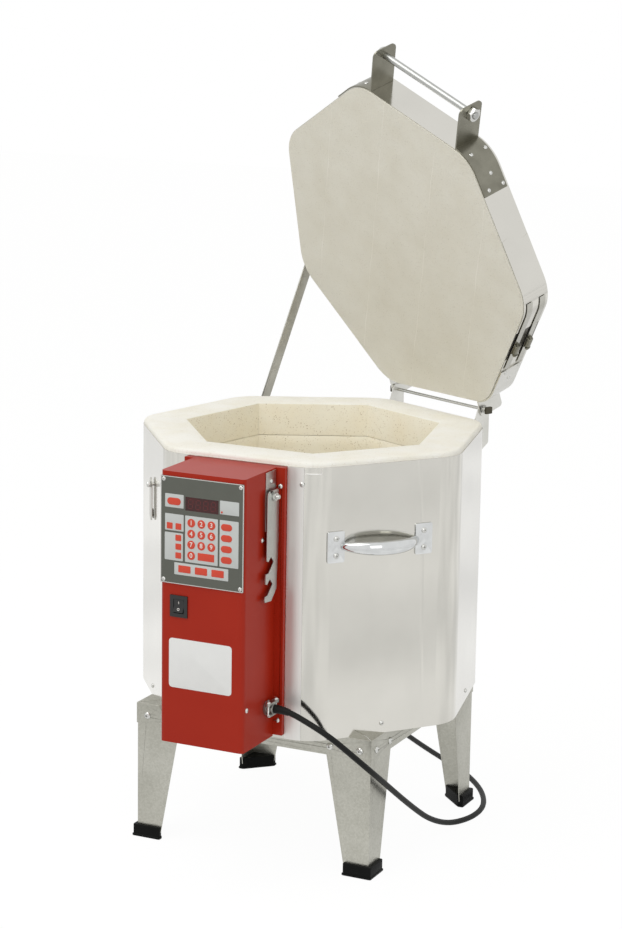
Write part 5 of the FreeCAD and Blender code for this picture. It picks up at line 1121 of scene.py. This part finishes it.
# Peephole: a hole through the wall on the left front facet, behind a small stainless flap.
# The flap hangs from a knurled screw and is pushed aside to look in.
dress(["peephole_cover"], SHEARED, 0.3)
KNOB_OUT = SKIN_OUT + 3.85
PEEPHOLE_Z = 527.85
knob = []
for z, radius in ((0, 3.9), (0.5, 4.5), (4.6, 4.5), (5.6, 3.9), (6.0, 2.6)):
    ring = []
    for i, a in enumerate(turns(60)):
        knurl = 0.22 if 0.4 < z < 5 and i % 2 else 0.0
        ring.append(((radius - knurl) * math.cos(a), (radius - knurl) * math.sin(a), z))
    knob.append(ring)
neck = threaded_rod(-KNOB_OUT + SKIN_OUT - 6.5, 0.3, 5.0, ())
knob_place = facet(PEEPHOLE_SIDE) @ at(0, -KNOB_OUT, PEEPHOLE_Z) @ FACE_OUT
knob_parts = [moved(loft(knob), knob_place), moved(neck, knob_place)]
put("peephole_knob", "kiln", knob_parts, ZINC_PLATE, "fixings", "peephole_screw", crease=30)

# Control box: a folded cover and a back plate of 1.2 mm steel, sprayed and stoved in saturated red.
# The gloss skin over the paint has an orange-peel of about 3 mm.
BOX_LEFT = -68.0
BOX_RIGHT = 62.0
BOX_FRONT = 339.0
BOX_FLANGE = 245.65
GLOSS_SKIN = {"Specular_IOR_Level": 0.16, "Coat_Weight": 0.06, "Coat_Roughness": 0.14}
PEEL = (3.0, 1.0, 0.25, 0.00015)
RED = finished("red_stoved_enamel", 0.0, 0.4, (70.0, 3.0), "#a1220f", "#ac2a14", PEEL, **GLOSS_SKIN)
dress(["control_box_cover"], RED, 0.5)
dress(["control_box_back"], RED, 0.4)
box_spots = [at(x, -BOX_FLANGE, z) @ FACE_OUT for x in (-75, 69) for z in (234, 572)]
for x, facing in ((BOX_RIGHT, FACE_RIGHT), (BOX_LEFT, FACE_LEFT)):
    box_spots += [at(x, y, z) @ facing for y, z in ((-285, 502.5), (-328, 270))]
screw_heads("box_screw_heads", sheet_head, box_spots, "control_box_screws")

# Control panel: an aluminium plate under a grey printed film, held by a pan-head screw in each corner.
# The film is satin, and its printed words are left off.
PANEL_FACE = 340.6
PANEL_MIDDLE = -3.0
PANEL_TOP = 591.5
PANEL_WIDE = 128.0
PANEL_HIGH = 151.0


def printed_film(name, code, other, rough):
    """Screen-printed polyester film: flat even colour with a fine satin grain, drawn 1 mm coarse."""
    return finished(name, 0.0, rough, (35.0, 2.0), code, other, (1.0, 2.0, 0.15, 0.0001))


def on_panel(x, down, out=0.0):
    """A place on the panel: from its middle, down from its top, and in front of its face."""
    return at(PANEL_MIDDLE + x, -PANEL_FACE - out, PANEL_TOP - down) @ FACE_OUT


dress(["control_panel"], printed_film("grey_panel_film", "#55574f", "#5e6057", 0.42))
rings = []
for inset, z in ((-0.02, -0.9), (-0.02, 0.1), (1.0, 0.1), (1.0, -0.02)):
    rings.append(rounded_ring(PANEL_WIDE - 2 * inset, PANEL_HIGH - 2 * inset, 1.5, z))
bare_edge = moved(loft(rings, caps=False), on_panel(0, PANEL_HIGH / 2))
put("panel_bare_edge", "kiln", [bare_edge], ZINC_PLATE, "panel_grey", crease=30)
panel_spots = [at(x, -PANEL_FACE, z) @ FACE_OUT for x in (-62.4, 56.4) for z in (445.1, 586.9)]
screw_heads("panel_screw_heads", round_head(6.0, 1.4), panel_spots, "panel_screws")

# Keypad: light blocks of the same film with red keys printed and embossed on them, and plain numbers.
# The keys are low domes over contacts and don't travel.
BLOCKS = [
    (-25.6, 25.0, 118.0, 52.5),
    (27.8, 56.8, 118.0, 52.5),
    (-57.0, -28.0, 76.0, 52.5),
    (-57.4, -29.0, 118.0, 78.9),
    (-42.2, 41.5, 137.5, 120.5),
    (-57.0, -28.2, 43.5, 24.5),
    (28.0, 57.2, 44.5, 25.5),
]
PALE_FILM = printed_film("pale_key_film", "#c3c6c4", "#cccfcc", 0.4)
blocks = []
for x0, x1, low, top in BLOCKS:
    block = raised(x1 - x0, low - top, 1.0, 0.02, 0.4, 0.12)
    blocks.append(moved(block, on_panel((x0 + x1) / 2, (low + top) / 2)))
put("keypad_blocks", "kiln", blocks, PALE_FILM, "keypad_film", "keypad")

# Each key is its place from the panel's middle, how far down it is, its width, its height and its corners.
KEY = 12.0
KEY_STEP = 15.6
KEY_RISE = 15.3
FIRST_ROW = 62.3
keys = []
digits = []
for n in range(10):
    x = (n % 3) * KEY_STEP - 16
    down = FIRST_ROW + (n // 3) * KEY_RISE
    keys.append((x, down, KEY, KEY, KEY / 2))
    digits.append((str((n + 1) % 10), x, down))
keys.append((7, FIRST_ROW + 3 * KEY_RISE, KEY + KEY_STEP - 2, KEY - 1.5, 1.0))
keys += [(38.4, FIRST_ROW + n * KEY_RISE, 17, 9.5, 4.7) for n in range(4)]
keys += [(x, 69.5, 9, 8.9, 1.0) for x in (-49.6, -36)]
keys += [(-36, down, 9, 8.5, 1.0) for down in (85.5, 98, 110.4)]
keys += [(x, 128.8, 19, 10, 1.0) for x in (-26.3, -0.5, 25.2)]
keys.append((-43, 34.7, 21, 10, 4.9))
keys.append((30.9, 41.7, 3, 3, 1.5))
RED_PRINT = printed_film("red_key_print", "#cf3f27", "#d8472d", 0.38)
domes = [moved(raised(w, h, r, 0.3, 0.9, 0.3), on_panel(x, down)) for x, down, w, h, r in keys]
put("keypad_keys", "kiln", domes, RED_PRINT, "keypad_film", crease=40)


def lettering(text, size):
    """A plain character as a surface, standing along its own z."""
    curve = bpy.data.curves.new("character", "FONT")
    curve.body = text
    curve.size = size
    curve.align_x = "CENTER"
    curve.align_y = "CENTER"
    curve.extrude = 0.04
    curve.offset = 0.12
    curve.resolution_u = 3
    holder = bpy.data.objects.new("character", curve)
    mesh = bpy.data.meshes.new_from_object(holder)
    shape = ([v.co.copy() for v in mesh.vertices], [tuple(p.vertices) for p in mesh.polygons])
    bpy.data.objects.remove(holder)
    return shape


WHITE_PRINT = printed_film("white_print", "#e8e3dc", "#eeeae4", 0.45)
marks = [moved(lettering(text, 9.2), on_panel(x, down, 0.93)) for text, x, down in digits]
put("keypad_numbers", "kiln", marks, WHITE_PRINT, "keypad_film")

# Display: a polished window of red acrylic flush in the panel, with four unlit number tubes behind it.
# Off, it is nearly black with a red cast, and only the edges of the segments show as a duller red.
RED_WINDOW = finished("red_filter_acrylic", 0.0, 0.08, (16.0, 1.0), "#2a0505", "#4a0a0a", IOR=1.49)
dress(["display_window"], RED_WINDOW)
UNLIT = printed_film("unlit_segment", "#5a1210", "#641614", 0.2)
FIRST_DIGIT = -17.5
DIGIT_STEP = 11.7
DIGITS_DOWN = 36.0
segments = []
for n in range(4):
    x = FIRST_DIGIT + n * DIGIT_STEP
    across = [(0, rise, 5.2, 1.0) for rise in (6.2, 0, -6.2)]
    upright = [(aside, rise, 1.0, 5.0) for rise in (3.1, -3.1) for aside in (-3.4, 3.4)]
    for aside, rise, wide, high in across + upright:
        bar = raised(wide, high, 0.45, 0.01, 0.06, 0.02)
        segments.append(moved(bar, on_panel(x + aside + rise * 0.1, DIGITS_DOWN - rise)))
put("display_segments", "kiln", segments, UNLIT, "display_glass")

# Power switch: a black snap-in rocker switch, moulded in glossy nylon with a faint flow texture.
# Its two ends carry the usual plain marks, a bar and a ring, in white.
NYLON = finished("black_nylon", 0.0, 0.28, (9.0, 3.0), "#0d0d0d", "#1c1c1c", IOR=1.53)
dress(["switch_housing", "rocker"], NYLON, 0.5)
PIVOT_PIN = (-38.5, -336.8, 408.5)
PRESSED = -8
SLOPE = 12.5
rocker_pivot = at(*PIVOT_PIN)
tilt = Matrix.Rotation(math.radians(PRESSED), 4, "X")
bar_mark = raised(0.8, 3.6, 0.2, -0.2, 0.12, 0.05)
ring_shape = ((1.9, -0.2), (1.9, 0.12), (1.2, 0.12), (1.2, -0.2))
ring_mark = loft([circle(radius, z, 24) for radius, z in ring_shape], caps=False)
switch_marks = []
for sign, mark in ((1, bar_mark), (-1, ring_mark)):
    lean = Matrix.Rotation(math.radians(sign * SLOPE), 4, "X")
    switch_marks.append(moved(mark, rocker_pivot @ tilt @ at(0, -4.05, sign * 4.6) @ lean @ FACE_OUT))
put("rocker_marks", "rocker", switch_marks, WHITE_PRINT, "label_white")

# Label plate: a matt white vinyl label with round corners, stuck low on the box's front and left bare.
# Its soft paper-like surface is slightly uneven where it follows the paint.
LABEL_WIDE = 98
LABEL_HIGH = 71
LABEL_PLACE = (-5, -BOX_FRONT, 326.5)
UNEVEN = (25.0, 3.0, 0.2, 0.0004)
VINYL_LABEL = finished("white_vinyl_label", 0.0, 0.55, (25.0, 3.0), "#e6e6e4", "#efefed", UNEVEN)
label = moved(raised(LABEL_WIDE, LABEL_HIGH, 5.0, 0.02, 0.3, 0.08), at(*LABEL_PLACE) @ FACE_OUT)
put("label_film", "kiln", [label], VINYL_LABEL, "label_white", "label_plate")

# Prop: a notched arm of galvanised strip that hangs from a bolt on the box's side, over a mounting strip.
# Swung up, its notches hold the lid's rod so that the lid stays a little open.
PROP_SHEET = galvanised_sheet("prop_zinc_sheet", "#b4b6b2", "#d0d2ce")
dress(["prop_bracket", "prop_arm"], PROP_SHEET, 0.3)
PROP_Y = -266.0
PROP_Z = 561.7
STRIP_SCREW = (63.6, -263, 582)
onto = at(0, PROP_Y, PROP_Z) @ FACE_RIGHT
hardware = [
    moved(threaded_rod(56.8, 78.4, 6.35, ((74.0, 77.6),), 1.2), onto),
    moved(hexagon_nut(11.1, 4.0, 6.4), onto @ at(0, 0, 56.8)),
    moved(tube([Vector((0, 0, 63.62)), Vector((0, 0, 67.58))], [5.5, 5.5], 28), onto),
    moved(hexagon_nut(11.1, 4.4, 6.4), onto @ at(0, 0, 69.6) @ Matrix.Rotation(0.3, 4, "Z")),
    turned_head(sheet_head, at(*STRIP_SCREW) @ FACE_RIGHT, 2),
]
put("prop_hardware", "kiln", hardware, ZINC_PLATE, "fixings", "prop_bolt", crease=30)

# Cable clamp: a die-cast zinc squeeze connector in the box's side. A saddle with two screws grips the cord.
# The casting is grey and softly rough, a bit darker in the hollows.
CAST_SKIN = (2.0, 4.0, 0.4, 0.0003)
DIE_CAST = finished("die_cast_zinc", 1.0, 0.38, (2.0, 4.0), "#84837e", "#c0bfba", CAST_SKIN)
CLAMP_Y = -266.6
CLAMP_Z = 257.6
SADDLE_X = 70.6
SADDLE_SCREW = 11.8
SHANK_FROM = 248.5
HEAD_Z = 268.2
COLLAR = (
    *((51.5, 12.8), (52, 13.4), (56, 13.4), (56.2, 7.0), (61.9, 7.0), (62.05, 10.4), (62.6, 11.0)),
    *((65.4, 11.0), (66.0, 10.4), (66.4, 8.6), (74.4, 8.2), (74.9, 7.6), (74.9, 4.6), (70.0, 4.4)),
)
collar = loft([circle(radius, x, 40) for x, radius in COLLAR], caps=False)
casting = [
    moved(collar, at(0, CLAMP_Y, CLAMP_Z) @ FACE_RIGHT),
    moved(raised(8.0, 32.0, 2.6, 0, 4.2, 0.9), at(SADDLE_X, CLAMP_Y, CLAMP_Z + 6.4)),
    moved(raised(7.0, 27.0, 2.4, 0, 3.6, 0.8), at(SADDLE_X, CLAMP_Y, CLAMP_Z - 9.6)),
]
put("clamp_casting", "kiln", casting, DIE_CAST, "fixings", "cable_clamp", crease=35)
clamp_screws = []
for y in (CLAMP_Y - SADDLE_SCREW, CLAMP_Y + SADDLE_SCREW):
    shank = threaded_rod(0, 19.0, 4.0, ((0.8, 14.0),), 0.9, 14)
    clamp_screws.append(moved(shank, at(SADDLE_X, y, SHANK_FROM)))
    clamp_screws.append(turned_head(round_head(7.2, 2.6), at(SADDLE_X, y, HEAD_Z), y))
put("clamp_screws", "kiln", clamp_screws, ZINC_PLATE, "fixings", crease=45)

# Inside the box, hidden by the cover: the controller's board on its posts, the relay and the terminals, and
# a thermocouple whose sheath goes through the wall.


def laminate_board():
    """Glass-fibre circuit board: green lacquer over copper tracks about 2 mm apart."""
    material, tree, shader, place = finish_of("green_board_laminate", {"Roughness": 0.35})
    tracks = cells(tree, place, 5.0, distance="CHEBYCHEV")
    line = ranged(tree, tracks.outputs["Distance"], 0.35, 0.45)
    feed(tree, shader, {"Base Color": mixed(tree, line, "#1f5a34", "#2f7a48")})
    return material


# Unglazed mullite is off-white, chalky and smooth, with a faint kiln stain.
MULLITE = finished("mullite_sheath", 0.0, 0.8, (12.0, 3.0), "#cfc4a8", "#e4dcc8")
dress(["controller_board"], laminate_board(), 0.2)
dress(["relay", "terminal_block"], NYLON, 0.6)
dress(["thermocouple"], MULLITE, 0.5)
